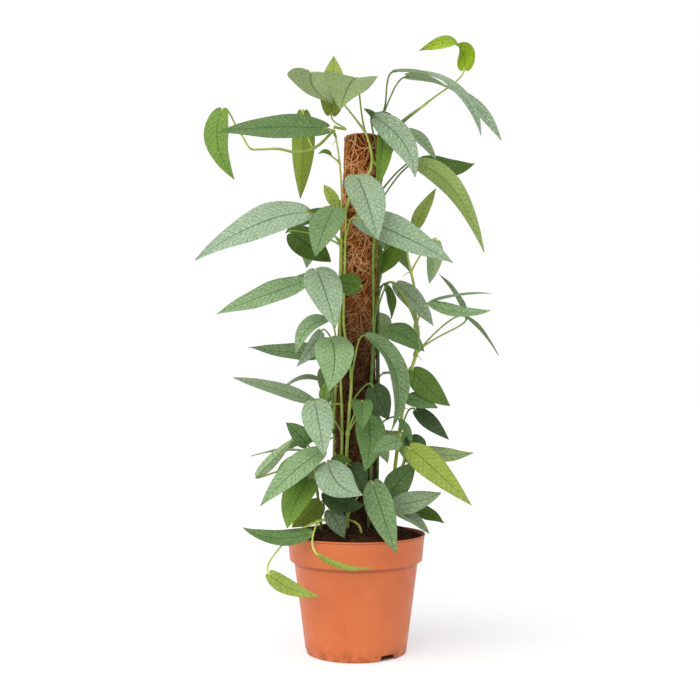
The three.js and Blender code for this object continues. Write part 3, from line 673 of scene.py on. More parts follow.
VINES["left"] = {"stems": [
    [[-78, 132], [-86, 210], [-82, 300], [-92, 390], [-88, 480], [-92, 560], [-21, -10, 605],
     [-27, -13, 640], [-30, -12, 662]],
    [[-27, -13, 636], [-49, -4, 618], [-74, 2, 613], [-95, 2, 617], [-118, 0, 616],
     [-129, -2, 616], [-139, -4, 631], [-147, -6, 646], [-158, -8, 661]],
    [[-27, -13, 640], [-8, -6, 638], [16, -6, 637]],
], "leaves": [
    [650, [-163, -10, 661], [-148, -14, 576], 33, [-20, 15], [-168, -16, 620], 8, 0, "grass"],
    [638, [-36, -28, 634], [-163, -46, 624], 36, [0, 24], [-100, -40, 632], 5, 0, "fern"],
    [614, [-66, 18, 667], [-70, 24, 560], 30, [170, 10], 6, 8, 0, "olive"],
    [650, [-31, 20, 665], [-28, 58, 751], 33, [8, 20], 5, 10, 0, "pear"],
    [590, [-30, -16, 604], [-46, -18, 606], 14, [0, 50], 3, 15, 0, "grass"],
    [500, [-60, -30, 533], [-190, -46, 473], 45, [-5, 24], [-121, -46, 514], 4, 0, "frost"],
    [495, [-80, -2, 513], [-31, 10, 479], 38, [0, 10], 4, 6, 0, "moss"],
    [425, [-62, -24, 451], [-167, -32, 411], 32, [0, 30], [-114, -34, 431], 5, 0, "mint"],
    [378, [-36, -30, 404], [-72, -42, 362], 28, [-20, 40], [-58, -40, 392], 14, 0, "mint"],
    [362, [-42, -40, 389], [-70, -56, 347], 20, [60, 25], 4, 12, 0, "frost"],
    [342, [-40, -12, 366], [-131, -18, 372], 28, [0, 40], [-84, -16, 366], 12, 30, "jade"],
    [305, [-40, -12, 330], [-88, -20, 321], 24, [-20, 72], [-66, -18, 333], 12, 0, "slate"],
    [280, [-52, -36, 306], [-145, -50, 334], 30, [0, 56], [-100, -46, 322], 6, 0, "slate"],
]}
VINES["lower_left"] = {"stems": [
    [[-40, -14, 130], [-45, -20, 180], [-50, -22, 225], [-54, -20, 262]],
], "leaves": [
    [240, [-58, -30, 254], [-84, -36, 281], 24, [-20, 40], 4, 10, 0, "fern"],
    [250, [-117, -50, 218], [-73, -42, 264], 15, [160, 20], 4, 12, 0, "frost"],
    [225, [-66, -8, 246], [-129, -12, 239], 20, [0, 84], 3, 8, 0, "sage"],
    [232, [-41, -52, 248], [-109, -92, 187], 34, [-10, 35], 7, 10, 0, "mint"],
    [214, [-58, -34, 238], [-97, -60, 208], 30, [-20, 40], 5, 10, 0, "grass"],
    [192, [-56, -48, 214], [-80, -74, 160], 42, [-25, 22], 6, 10, 0, "grass"],
    [168, [-42, -36, 186], [-76, -52, 158], 28, [170, -10], 4, 8, 0, "olive"],
]}
VINES["trailing"] = {"stems": [
    [[6, -44, 134], [4, -46, 158], [-8, -48, 166], [-30, -56, 164]],
    [[-12, -50, 166], [-34, -56, 168], [-66, -64, 157], [-90, -70, 142], [-98, -70, 128]],
], "leaves": [
    [166, [-52, -70, 154], [-131, -74, 161], 28, [0, 56], [-94, -77, 149], 6, 0, "fern"],
    [134, [-101, -70, 107], [-42, -88, 84], 20, [-10, 30], [-77, -80, 92], 10, 0, "pear"],
    [166, [-44, -92, 132], [22, -98, 119], 10, [0, 50], [-14, -98, 118], 26, 0, "pear"],
]}
VINES["front"] = {"stems": [
    [[-14, 132], [-22, 200], [-24, 245], [-20, 287], [-17, 336], [-34, 372], [-48, 400],
     [-48, 450], [-48, 500], [-46, 548], [-33, 579], [-26, 600], [-16, 622], [-12, 640]],
    [[-12, -16, 539], [-3, -26, 562], [14, -27, 578], [19, -24, 592], [18, -24, 608],
     [11, -25, 630], [0, -27, 646], [-9, -26, 660]],
    [[19, -24, 597], [27, -22, 590], [37, -18, 600], [49, -15, 613]],
], "leaves": [
    [548, [1, -44, 573], [24, -98, 488], 46, [10, 30], 6, 10, 0, "silver"],
    [500, [2, -46, 523], [112, -66, 467], 44, [5, 25], 6, 8, 0, "silver"],
    [350, [12, -40, 384], [40, -76, 272], 36, [40, 20], [46, -64, 336], 24, 0, "jade"],
    [300, [20, -44, 324], [38, -50, 284], 30, [-10, 10], 3, 8, 0, "deep"],
    [282, [7, -60, 306], [7, -86, 274], 27, [0, 30], 4, 26, 0, "fern"],
    [262, [13, -46, 293], [10, -78, 226], 36, [10, 20], [16, -66, 260], 10, 0, "fern"],
    [182, [19, -60, 211], [45, -100, 134], 34, [-10, 15], 6, 12, 0, "jade"],
    [200, [-7, -50, 231], [9, -58, 199], 30, [0, 25], 4, 8, 0, "deep"],
    [428, [5, -36, 444], [-30, -33, 449], 27, [0, 10], 2, 4, 0, "moss"],
    [631, [-56, 30, 720], [-28, -35, 661], 62, [14, 50], [-52, -2, 691], 12, 0, "sage"],
    [631, [1, -14, 699], [-18, -84, 640], 66, [-2, 47], 9, 12, 0, "sage"],
    [602, [63, -14, 636], [97, -20, 598], 20, [20, 30], 4, 8, 0, "slate"],
]}
VINES["front_right"] = {"stems": [
    [[34, 132], [44, 210], [38, 300], [52, 390], [44, 480], [54, 570], [25, -18, 622],
     [26, -22, 640]],
], "leaves": [
    [625, [22, -33, 646], [69, -56, 569], 31, [-20, 10], [56, -48, 611], 6, 0, "silver"],
    [625, [27, -26, 640], [9, -28, 658], 13, [0, 40], 2, 20, 0, "fern"],
    [625, [32, -24, 640], [25, -36, 560], 26, [30, 0], 3, 30, 0, "grass"],
    [480, [47, -16, 497], [31, -24, 460], 24, [160, 10], 3, 10, 0, "moss"],
    [420, [48, -30, 447], [92, -38, 396], 27, [10, 20], 5, 8, 0, "slate"],
    [415, [44, -40, 446], [75, -50, 364], 26, [80, 25], [66, -48, 408], 14, 0, "sage"],
    [412, [36, -22, 446], [42, -28, 405], 20, [50, 0], 3, 12, 0, "moss"],
    [370, [38, -18, 394], [82, -26, 366], 34, [0, 40], 5, 8, 0, "fern"],
    [258, [52, -37, 284], [67, -41, 254], 14, [40, 20], 2, 10, 0, "fern"],
    [262, [50, -74, 261], [19, -90, 248], 24, [0, 40], 3, 8, 0, "jade"],
    [470, [28, -18, 496], [27, -20, 450], 14, [70, 0], 2, 20, 0, "moss"],
    [525, [73, -26, 592], [153, -34, 484], 27, [150, 15], [118, -34, 558], 6, 0, "sage"],
]}
VINES["right"] = {"stems": [
    [[96, 132], [88, 220], [98, 310], [90, 400], [98, 490], [90, 580], [30, 2, 630],
     [34, -2, 660], [41, -8, 694]],
    [[30, 2, 622], [58, -2, 650], [92, -6, 675], [112, -8, 691]],
], "leaves": [
    [655, [47, -30, 702], [149, -32, 624], 34, [20, 56], [116, -30, 684], 8, 50, "silver"],
    [655, [65, 18, 711], [182, 20, 632], 32, [-5, 58], [133, 20, 688], 8, 110, "silver"],
    [680, [132, -10, 711], [76, -18, 731], 33, [0, 64], [121, -14, 740], 12, -180, "lime"],
    [645, [24, -12, 652], [48, -14, 650], 14, [0, 30], 2, 20, 0, "deep"],
    [172, [40, -30, 195], [71, -34, 233], 32, [-10, 16], 3, 6, 0, "fern"],
    [563, [80, 8, 604], [147, 6, 600], 28, [0, 20], [116, 8, 595], 6, 0, "moss"],
]}
VINES["outer_right"] = {"stems": [
    [[42, 6, 130], [46, 6, 200], [54, 4, 270], [64, 0, 334], [73, -4, 363], [73, -4, 400],
     [72, -4, 441], [63, -6, 486], [59, -8, 542], [49, -6, 576], [42, -2, 596]],
], "leaves": [
    [490, [70, -16, 514], [97, -18, 564], 20, [-30, 10], 2, 8, 0, "olive"],
    [480, [97, -20, 500], [88, -24, 448], 20, [160, 0], 4, 10, 0, "silver"],
    [405, [92, -8, 428], [165, -8, 438], 24, [0, 78], 3, 8, 0, "mint"],
    [398, [90, -18, 424], [162, -24, 416], 26, [0, 50], [126, -24, 413], 10, 0, "mint"],
    [363, [138, 24, 412], [104, 24, 466], 28, [62, 35], 3, 12, 0, "jade"],
    [363, [138, 24, 412], [179, 28, 364], 24, [70, 35], 3, 12, 0, "jade"],
    [335, [68, -24, 344], [112, -36, 301], 32, [10, 16], [88, -32, 320], 5, 0, "moss"],
    [300, [60, -34, 309], [97, -38, 298], 26, [0, 40], 3, 10, 0, "fern"],
    [275, [72, -18, 296], [112, -22, 260], 20, [0, 16], 2, 5, 0, "deep"],
]}
VINES["lower_right"] = {"stems": [
    [[36, -24, 130], [46, -26, 190], [58, -28, 238], [62, -30, 262]],
], "leaves": [
    [225, [63, -50, 251], [133, -72, 186], 34, [10, 16], [93, -62, 225], 4, 0, "pear"],
    [232, [77, -14, 246], [142, -20, 244], 22, [0, 36], [110, -18, 241], 6, 0, "sage"],
    [245, [66, -28, 265], [74, -34, 233], 28, [20, 10], 4, 10, 0, "deep"],
    [170, [42, -46, 184], [99, -62, 200], 30, [0, 36], [72, -56, 189], 6, 0, "slate"],
    [165, [40, -54, 182], [86, -48, 150], 26, [30, 45], 5, 10, 0, "slate"],
    [165, [66, -20, 176], [106, -28, 160], 24, [20, 45], 3, 8, 0, "moss"],
]}
VINES["back_left"] = {"stems": [
    [[-126, 132], [-134, 220], [-124, 320], [-136, 420], [-126, 520], [-134, 600]],
], "leaves": [
    [560, [-30, 40, 548], [-92, 72, 525], 26, [-150, 50], 5, 8, 0, "jade"],
    [505, [-46, 30, 524], [-66, 118, 486], 40, [-165, 50], 10, 8, 10, "silver"],
    [430, [-40, 40, 468], [-116, 76, 440], 30, [-120, 55], 5, 12, 0, "slate"],
    [345, [-28, 36, 356], [-36, 106, 300], 34, [-160, 30], 8, 6, 0, "jade"],
    [252, [-40, 46, 256], [-106, 88, 232], 30, [-140, 60], 6, 12, 0, "fern"],
    [196, [-52, 36, 224], [-80, 98, 166], 38, [-150, 30], 6, 8, 0, "jade"],
]}
VINES["back"] = {"stems": [
    [[176, 132], [184, 220], [174, 320], [186, 420], [176, 520], [184, 610]],
], "leaves": [
    [596, [10, 40, 634], [26, 96, 566], 38, [165, 35], 8, 8, 0, "slate"],
    [540, [-6, 44, 560], [-40, 128, 528], 34, [-165, 55], 8, 12, 0, "jade"],
    [452, [14, 40, 482], [6, 112, 424], 44, [175, 35], 8, 6, 10, "silver"],
    [378, [-10, 46, 396], [26, 132, 374], 32, [170, 60], 6, 12, -10, "fern"],
    [300, [-4, 42, 326], [-24, 110, 262], 42, [-175, 30], 8, 6, 0, "jade"],
    [232, [12, 48, 250], [44, 128, 222], 34, [160, 55], 6, 10, 0, "slate"],
    [172, [-14, 46, 196], [-30, 112, 158], 36, [-170, 42], 6, 10, 0, "grass"],
]}
VINES["back_right"] = {"stems": [
    [[128, 132], [136, 220], [126, 320], [138, 420], [128, 520], [134, 590]],
], "leaves": [
    [560, [14, 38, 576], [34, 104, 544], 26, [160, 45], 6, 10, 0, "deep"],
    [488, [26, 42, 510], [72, 82, 474], 34, [130, 40], 8, 8, 10, "jade"],
    [396, [18, 36, 418], [42, 110, 380], 36, [165, 45], 8, 6, 0, "slate"],
    [322, [38, 42, 342], [112, 86, 322], 32, [135, 60], 6, 12, -10, "jade"],
    [240, [46, 34, 268], [74, 108, 218], 40, [155, 35], 8, 8, 0, "fern"],
    [186, [38, 44, 196], [90, 72, 160], 30, [130, 45], 5, 10, 0, "slate"],
]}
print("leaves:", sum(len(vine["leaves"]) for vine in VINES.values()))

# %% [markdown]
# The tones are what the eye sees first: old leaves are blue-green under a silvery bloom, shaded ones are
# deep and glossy, and the newest are yellow-green. The second number is how strong the silver bloom is.

# %% Tones of the leaves
TONES = {
    "frost": ("#8aaa80", 1.0), "silver": ("#82a475", 0.9), "mint": ("#78a256", 0.6),
    "jade": ("#5c8236", 0.4), "slate": ("#7b9262", 0.5), "sage": ("#8ca350", 0.35),
    "fern": ("#57802b", 0.2), "deep": ("#2d4708", 0.05), "moss": ("#54750c", 0.0),
    "dusk": ("#41552a", 0.3), "grass": ("#78a11a", 0.1), "olive": ("#869b2c", 0.1),
    "lime": ("#a8c80a", 0.0), "pear": ("#a0b634", 0.1),
}


# %% [markdown]
# A stem is a smooth line through its spots. The line is a Catmull-Rom curve, because that passes through
# each spot, where a Bezier curve would need handles. It is cut into even steps, and the leaves leave the
# stem at these.

# %% Lines of the stems
STEM_STEP, FINE_STEP, COARSE, CLASP_GAP = 34.0, 2.5, 200, 3.2


def clasp(spot):
    angle, z = math.radians(spot[0]), spot[1]
    reach = sleeve_radius_at(z) + CLASP_GAP
    return np.array([lean_at(z) + reach * math.sin(angle), -reach * math.cos(angle), z])


def curve_point(spots, share):
    """A point on the centripetal Catmull-Rom line through the spots."""
    count = len(spots)
    step = min(int(share * (count - 1)), count - 2)
    weight = share * (count - 1) - step
    before = spots[step - 1] if step > 0 else 2 * spots[0] - spots[1]
    after = spots[step + 2] if step + 2 < count else 2 * spots[-1] - spots[-2]
    four = [before, spots[step], spots[step + 1], after]
    gaps = [np.linalg.norm(four[i + 1] - four[i]) ** 0.5 for i in range(3)]
    slopes = []
    for i in (0, 1):
        a, b, c = four[i], four[i + 1], four[i + 2]
        first, second = gaps[i], gaps[i + 1]
        slope = (b - a) / first - (c - a) / (first + second) + (c - b) / second
        slopes.append(slope * gaps[1])
    start, end = four[1], four[2]
    square = -3 * start + 3 * end - 2 * slopes[0] - slopes[1]
    cube = 2 * start - 2 * end + slopes[0] + slopes[1]
    return start + slopes[0] * weight + square * weight ** 2 + cube * weight ** 3


def stem_line(spots, step):
    points = [np.array(s, float) if len(s) == 3 else clasp(s) for s in spots]
    coarse = np.array([curve_point(points, i / COARSE) for i in range(COARSE + 1)])
    lengths = np.concatenate([[0], np.cumsum(np.linalg.norm(np.diff(coarse, axis=0), axis=1))])
    parts = max(3, round(lengths[-1] / step))
    even = np.linspace(0, lengths[-1], parts + 1)
    shares = np.interp(even, lengths, np.linspace(0, 1, COARSE + 1))
    return np.array([curve_point(points, share) for share in shares])


# %% [markdown]
# The midrib of a leaf is a parabola from base to tip. The blade's frame turns with the midrib, so the
# width, the fold and the twist can be laid off from it at any place along the leaf.

# %% The frame of a blade
def unit(v):
    return v / np.linalg.norm(v)


def turned_about(v, axis, angle):
    cos, sin = math.cos(angle), math.sin(angle)
    return v * cos + np.cross(axis, v) * sin + axis * np.dot(axis, v) * (1 - cos)


def blade_frame(start, end, face, arch, twist):
    start, end = np.array(start, float), np.array(end, float)
    chord = end - start
    along = unit(chord)
    azimuth, lift = (math.radians(a) for a in face)
    facing = np.array([
        math.sin(azimuth) * math.cos(lift), -math.cos(azimuth) * math.cos(lift), math.sin(lift),
    ])
    middle_normal = unit(facing - along * np.dot(facing, along))
    middle = (start + end) / 2
    rise = np.array(arch) - middle if isinstance(arch, list) else middle_normal * arch
    bend = rise if np.linalg.norm(rise) > 0.5 else middle_normal
    axis = unit(np.cross(chord, bend))
    control = middle + 2 * rise
    share = [np.dot(middle_normal, axis), np.dot(middle_normal, np.cross(axis, along))]

    def at(t):
        point = start * (1 - t) ** 2 + control * 2 * t * (1 - t) + end * t * t
        tangent = unit((control - start) * (1 - t) + (end - control) * t)
        normal = axis * share[0] + np.cross(axis, tangent) * share[1]
        normal = unit(turned_about(normal, tangent, math.radians(twist) * (t - 0.5)))
        return point, tangent, normal, np.cross(tangent, normal)

    return at, np.linalg.norm(chord)


# %% [markdown]
# The blade itself is two skins that meet at the margin. Across the leaf the skin dips to a crease at the
# midrib, and the margin waves a little, each leaf in its own way. Under the midrib a keel stands out and
# thins towards the tip. The skin carries two named attributes: `blade` holds millimetres across, along
# and to the margin, and `tone` holds the leaf's colour, with the strength of its bloom as alpha.

# %% The skins of a blade
COLUMNS = 17
HALF_THICK, CREASE, KEEL, LOBE = 0.26, 0.22, 0.75, 0.05


def width_share(t):
    return 1.5 * math.sqrt(3 * t) * (1 - t)


def blade_rows(wide):
    count = int(16 + wide * 0.45)
    return [(i / count) ** 1.5 for i in range(count + 1)]


def blade_skins(row, draw):
    """Points of the upper and the under skin, and the numbers that each point carries."""
    _, start, end, wide, face, arch, fold, twist, _ = row
    at, length = blade_frame(start, end, face, arch, twist)
    sway = [draw.uniform(0, 2 * math.pi) for _ in range(2)]
    waves, depth = draw.uniform(1.2, 2.2), draw.uniform(0.03, 0.06) * wide / 2
    fold = math.radians(fold)
    across_steps = [math.copysign(abs(s) ** 1.15, s) for s in np.linspace(-1, 1, COLUMNS)]
    upper, under, carried = [], [], []
    for t in blade_rows(wide):
        point, tangent, normal, side = at(t)
        half = max(wide / 2 * width_share(t), 1.0 if t < 0.5 else 0.25)
        back = -length * LOBE * math.exp(-((t / 0.12) ** 2)) * min(1, half / 4) if t > 0 else 0
        keel = KEEL * (1 - t) ** 0.7
        for s in across_steps:
            off = abs(s) * half
            wave = depth * math.sin(2 * math.pi * waves * t + sway[s > 0]) * s * s * min(1, 6 * t)
            place = point + side * (s * half * math.cos(fold)) + tangent * (back * abs(s) ** 1.5)
            place = place + normal * (half * math.sin(fold) * abs(s) ** 1.35 + wave)
            crease = math.exp(-((off / 0.8) ** 2))
            body = HALF_THICK * (1 - abs(s) ** 6)
            upper.append(place + normal * (body - CREASE * crease * (1 - t)))
            under.append(place - normal * (body + keel * crease))
            carried.append((s * half, t * length, half))
    return upper, under, carried


def add_points(row, draw, skin):
    """Adds a blade's points to a vine's skin, and returns their numbers row by row, top and under."""
    upper, under, carried = blade_skins(row, draw)
    rows = len(upper) // COLUMNS
    code, bloom = TONES[row[-1]]
    light = draw.uniform(0.9, 1.1)
    colour = [min(1.0, c * light) for c in paint(code)[:3]] + [bloom]
    first = len(skin["points"])
    top = [list(range(first + i * COLUMNS, first + (i + 1) * COLUMNS)) for i in range(rows)]
    skin["points"] += upper
    skin["blade"] += carried
    low = []
    for i, line in enumerate(top):
        inner = slice(i * COLUMNS + 1, (i + 1) * COLUMNS - 1)
        begin = len(skin["points"])
        skin["points"] += under[inner]
        skin["blade"] += carried[inner]
        low.append([line[0], *range(begin, len(skin["points"])), line[-1]])
    skin["tone"] += [colour] * (len(skin["points"]) - first)
    return top, low


def add_blade(row, draw, skin):
    """Adds one closed blade to a vine's skin. Its two sides meet at the margin."""
    top, low = add_points(row, draw, skin)
    for i in range(len(top) - 1):
        for j in range(COLUMNS - 1):
            skin["faces"].append((top[i][j], top[i][j + 1], top[i + 1][j + 1], top[i + 1][j]))
            skin["faces"].append((low[i][j], low[i + 1][j], low[i + 1][j + 1], low[i][j + 1]))
            skin["sides"] += [0, 1]
    for i, turn in ((0, 1), (-1, -1)):
        for j in range(COLUMNS - 1):
            ring = [top[i][j], low[i][j], low[i][j + 1], top[i][j + 1]]
            skin["faces"].append(tuple(dict.fromkeys(ring[::turn])))
            skin["sides"].append(1)


# %% [markdown]
# Stems and leaf stalks are lines with a thickness. The recipe below turns the line into a curve, reads
# the thickness that each point carries, and wraps a round skin about it.

# %% A recipe for canes
canes = Recipe("Canes", {"Sides": "Int"})
cane_line = canes.step("MeshToCurve", {"Mesh": canes.given["Geometry"]})
cane_thick = canes.step("InputNamedAttribute", {"Name": "thickness"}, data_type="FLOAT")
canes.end(canes.wrapped(cane_line, canes.given["Sides"], 1.0, Scale=cane_thick))

# How stout a vine's stems are, and how young and yellow-green they look.
STEM_LOOKS = {
    "outer_right": (1.3, 0.75), "right": (1.45, 0.05), "front_right": (1.2, 0.12),
    "lower_right": (1.0, 0.25), "front": (1.1, 0.6), "left": (1.0, 0.5), "front_left": (1.0, 0.6),
    "trailing": (0.9, 0.85),
}
OTHER_STEMS = (1.0, 0.3)
STALK_YOUTH = {
    "lime": 1.0, "pear": 0.95, "grass": 0.9, "olive": 0.85, "fern": 0.5, "deep": 0.25, "slate": 0.1,
}
OTHER_STALKS = 0.6
STEM_THICK, STEM_TIP, NODE_SWELL, NODE_SPAN = 1.8, 1.0, 0.3, 2.6
STALK_THICK, STALK_FOOT, STALK_KNEE = 1.1, 0.6, 0.3
NODE_REACH = 1.4


def line_mesh(name, lines):
    """A mesh of bare edges. Each line is its points, their thickness and how young it is."""
    points, edges, thickness, youth = [], [], [], []
    for places, thick, young in lines:
        first = len(points)
        points += [tuple(p * MM) for p in places]
        edges += [(first + i, first + i + 1) for i in range(len(places) - 1)]
        thickness += [float(t) * MM for t in thick]
        youth += [float(y) for y in young]
    mesh = bpy.data.meshes.new(name)
    mesh.from_pydata(points, edges, [])
    for label, values in (("thickness", thickness), ("youth", youth)):
        mesh.attributes.new(label, "FLOAT", "POINT").data.foreach_set("value", values)
    return mesh


# %% [markdown]
# A stalk bends out of its stem and runs into the midrib. A stem swells at every node where a leaf leaves
# it, and a stalk is stout at its foot and has a small knee just under the blade. What a stem has past
# its last node is left off, as on a plant that was cut there.

# %% Lines of one vine
def leaf_root(stems, row):
    """Where the stalk leaves a stem, and the stem's direction there."""
    base, height = np.array(row[1], float), row[0]
    found = (math.inf, None, None)
    for points in stems:
        for i in range(1, len(points) - 1):
            miss = np.linalg.norm(points[i] - base) + 8 * max(0, abs(points[i][2] - height) - 12)
            if miss < found[0]:
                found = (miss, points[i], unit(points[i + 1] - points[i - 1]))
    return found[1], found[2]


def stalk_line(stems, row):
    root, stem_along = leaf_root(stems, row)
    at, _ = blade_frame(row[1], row[2], row[4], row[5], row[7])
    base, tangent, _, _ = at(0)
    reach = np.linalg.norm(base - root)
    first = root + stem_along * reach * 0.14 + unit(base - root) * reach * 0.3
    second = base - tangent * min(14, reach * 0.4)
    shares = np.linspace(0, 1, max(6, round(reach / 3.5)))[:, None]
    line = root * (1 - shares) ** 3 + first * 3 * shares * (1 - shares) ** 2
    line = line + second * 3 * shares ** 2 * (1 - shares) + base * shares ** 3
    into_blade = at(0.035)[0]
    line = np.vstack([line, into_blade])
    ends = np.linspace(0, 1, len(line))
    thick = STALK_THICK + STALK_FOOT * np.exp(-(ends / 0.08) ** 2)
    thick = thick + STALK_KNEE * np.exp(-((ends - 0.93) / 0.06) ** 2)
    thick[-1] = 0.4
    return line, thick, root


def ended_at_last_node(line, nodes):
    """What lies past the last leaf or branch is left off."""
    used = [i for i, spot in enumerate(line) if np.linalg.norm(nodes - spot, axis=1).min() < NODE_REACH]
    return line[:max(used + [3]) + 1]


def vine_lines(vine, stout, young_stem, draw):
    coarse = [stem_line(spots, STEM_STEP) for spots in vine["stems"]]
    stalks = [stalk_line(coarse, row) for row in vine["leaves"]]
    nodes = np.array([root for _, _, root in stalks] + [points[0] for points in coarse[1:]])
    lines = []
    for spots in vine["stems"]:
        line = ended_at_last_node(stem_line(spots, FINE_STEP), nodes)
        share = np.linspace(0, 1, len(line))
        thick = (STEM_THICK + (STEM_TIP - STEM_THICK) * share ** 3) * stout
        for _, _, root in stalks:
            gap = np.linalg.norm(line - root, axis=1)
            thick = thick * (1 + NODE_SWELL * np.exp(-((gap / NODE_SPAN) ** 2)))
        youth = young_stem + (0.9 - young_stem) * share ** 3 + draw.uniform(-0.05, 0.1)
        lines.append((line, thick, youth))
    for (line, thick, _), row in zip(stalks, vine["leaves"]):
        youth = 0.6 * STALK_YOUTH.get(row[-1], OTHER_STALKS) + 0.4 * young_stem + draw.uniform(-0.12, 0.12)
        lines.append((line, thick, np.full(len(line), youth)))
    return lines


# %% [markdown]
# The leaf finish draws the veins from the numbers that the skin carries. Side veins leave the midrib at
# a slant and bow towards the tip, so the drawing takes the place along the leaf, less a share of the way
# across, and repeats it every few millimetres. Between the veins the skin is puckered and silvery.

# %% Finish of the blades
VEIN_GAP, VEIN_SLANT, VEIN_BOW, VEIN_WAVER = 7.4, 0.75, 0.012, 4.0


def vein_maps(made):
    """Side veins, the net between them, the midrib and the rim, each as a share from 0 to 1."""
    parts = made.add("SeparateXYZ", {0: made.carried("blade", "Vector")}).outputs
    across, half = made.calc("ABSOLUTE", parts[0]), parts[2]
    waver = made.times(made.noise(made.place(), 90, 2), VEIN_WAVER)
    bow = made.times(made.times(across, across), VEIN_BOW)
    straight = made.less(made.less(parts[1], made.times(across, VEIN_SLANT)), bow)
    along = made.calc("ADD", straight, waver)
    beat = made.calc("PINGPONG", made.calc("DIVIDE", along, VEIN_GAP), 0.5)
    side = made.spread(beat, 0.0, 0.11, 1.0, 0.0)
    place = {"X": along, "Y": made.times(parts[0], 0.5), "Z": half}
    spot = made.add("CombineXYZ", place).outputs[0]
    cells = made.add("TexVoronoi", {"Vector": spot, "Scale": 0.46}, feature="DISTANCE_TO_EDGE")
    net = made.spread(cells.outputs[0], 0.0, 0.22, 1.0, 0.0)
    rib = made.spread(made.calc("DIVIDE", across, half), 0.015, 0.075, 1.0, 0.0)
    rim = made.spread(made.less(half, across), 0.0, 0.6, 1.0, 0.0)
    return side, net, rib, rim, spot


def leaf_finish(name, roughness, gloss, pale_code, vein_dark, relief, pale_share):
    made = Finish(name, roughness, gloss)
    side, net, rib, rim, spot = vein_maps(made)
    tone = made.carried("tone", "Color")
    bloom = made.carried("tone", "Alpha")
    cloud = made.spread(made.noise(made.place(), 42, 3), 0.3, 0.7)
    flecks = made.spread(made.noise(spot, 0.5, 4, 0.65), 0.36, 0.66)
    dark = made.blend(0.66, tone, paint(vein_dark))
    colour = made.blend(made.times(cloud, 0.3), tone, dark)
    even = made.spread(flecks, 0.0, 1.0, 0.74, 1.0)
    between = made.less(even, made.times(net, 0.42))
    silver = made.times(bloom, made.times(between, pale_share))
    colour = made.blend(silver, colour, paint(pale_code))
    bright = made.blend(0.4, tone, paint(pale_code))
    colour = made.blend(made.times(flecks, 0.22), colour, bright)
    for line, share in ((net, 0.4), (side, 0.5), (rib, 0.85), (rim, 0.45)):
        colour = made.blend(made.times(line, share), colour, dark)
    made.give("Base Color", colour)
    made.bump(made.less(flecks, made.calc("ADD", net, side)), relief, 0.0007)
    return made


blade_finishes = [
    leaf_finish("leaf upper side", 0.42, 0.28, "#c6d6ba", "#1d3d10", 0.6, 0.75),
    leaf_finish("leaf under side", 0.6, 0.2, "#bccb94", "#45601c", 0.4, 0.6),
]

# %% [markdown]
# Old canes are dull green and young ones yellow-green, so each point of a cane carries how young it is.
# The fine specks are pores in the skin. Rootlets are dry and brown.

# %% Finish of the canes and of the rootlets
cane_green = Finish("green cane", 0.48, 0.4)
spot = cane_green.place()
youth = cane_green.carried("youth")
old_green = cane_green.tones(cane_green.noise(spot, 120, 4), 0.3, 0.7, "#35521a", "#5f7a30")
young_green = cane_green.tones(cane_green.noise(spot, 60, 3), 0.3, 0.7, "#a3bd42", "#c6d46c")
cane_colour = cane_green.blend(cane_green.spread(youth, 0.1, 0.95), old_green, young_green)
specks = cane_green.spread(cane_green.noise(spot, 1100, 2), 0.62, 0.72, 0, 0.4)
cane_green.give("Base Color", cane_green.blend(specks, cane_colour, paint("#57651f")))
cane_green.bump(cane_green.noise(cane_green.stretch(spot, (1, 1, 0.3)), 800, 3), 0.25, 0.0004)

root_brown = Finish("rootlet", 0.8, 0.3)
root_noise = root_brown.noise(root_brown.place(), 300, 3)
root_brown.give("Base Color", root_brown.tones(root_noise, 0.35, 0.7, "#2f1f12", "#6e4f2f"))

# %% [markdown]
# The blades of a vine are one mesh with two finishes, and they take the place of the vine's solid. Its
# canes are a second mesh. Each vine has a seed of its own, so a new leaf on one leaves the others alone.

# %% Grow every vine
BLADE_SHARP = math.radians(70)
for number, (name, vine) in enumerate(VINES.items()):
    draw = np.random.default_rng(100 + number)
    skin = {"points": [], "faces": [], "sides": [], "blade": [], "tone": []}
    for row in vine["leaves"]:
        add_blade(row, draw, skin)
    blades = mesh_of(name, np.array(skin["points"]) * MM, skin["faces"])
    blades.attributes.new("blade", "FLOAT_VECTOR", "POINT").data.foreach_set(
        "vector", np.array(skin["blade"], float).ravel())
    blades.attributes.new("tone", "FLOAT_COLOR", "POINT").data.foreach_set(
        "color", np.array(skin["tone"], float).ravel())
    blades.set_sharp_from_angle(angle=BLADE_SHARP)
    place_piece(f"{name}_leaves", blades, blade_finishes, f"vine_{name}")
    blades.polygons.foreach_set("material_index", skin["sides"])
    lines = vine_lines(vine, *STEM_LOOKS.get(name, OTHER_STEMS), draw)
    canes.grow(f"{name}_canes", "foliage", line_mesh(name, lines), cane_green, {"Sides": 8})

# %% [markdown]
# Old nodes put out short curled aerial roots. They stand on the stems of the right and left sides, at
# nodes that a seeded draw picks, and each one bends down and curls a little.

# %% Aerial roots
ROOTED_VINES = ("outer_right", "right", "front_right", "left")
ROOTED_SHARE = 0.55


def aerial_root(spot, along, draw):
    away = unit(draw.normal(size=3) * (1, 1, 0.4))
    length = draw.uniform(5, 13)
    shares = np.linspace(0, 1, 9)[:, None]
    curl = unit(np.cross(away, along)) * np.sin(shares * draw.uniform(3, 6)) * 0.22
    line = spot + (away * shares + np.array([0, 0, -0.5]) * shares ** 2 + curl) * length
    return line, np.linspace(0.5, 0.22, len(line)), np.full(len(line), 0.2)


draw = np.random.default_rng(71)
root_lines = []
for name in ROOTED_VINES:
    stems = [stem_line(spots, STEM_STEP) for spots in VINES[name]["stems"]]
    for row in VINES[name]["leaves"]:
        if draw.random() < ROOTED_SHARE:
            root_lines.append(aerial_root(*leaf_root(stems, row), draw))
root_edges = line_mesh("aerial_roots", root_lines)
canes.grow("aerial_roots", "foliage", root_edges, root_brown, {"Sides": 5})
print("aerial roots:", len(root_lines))

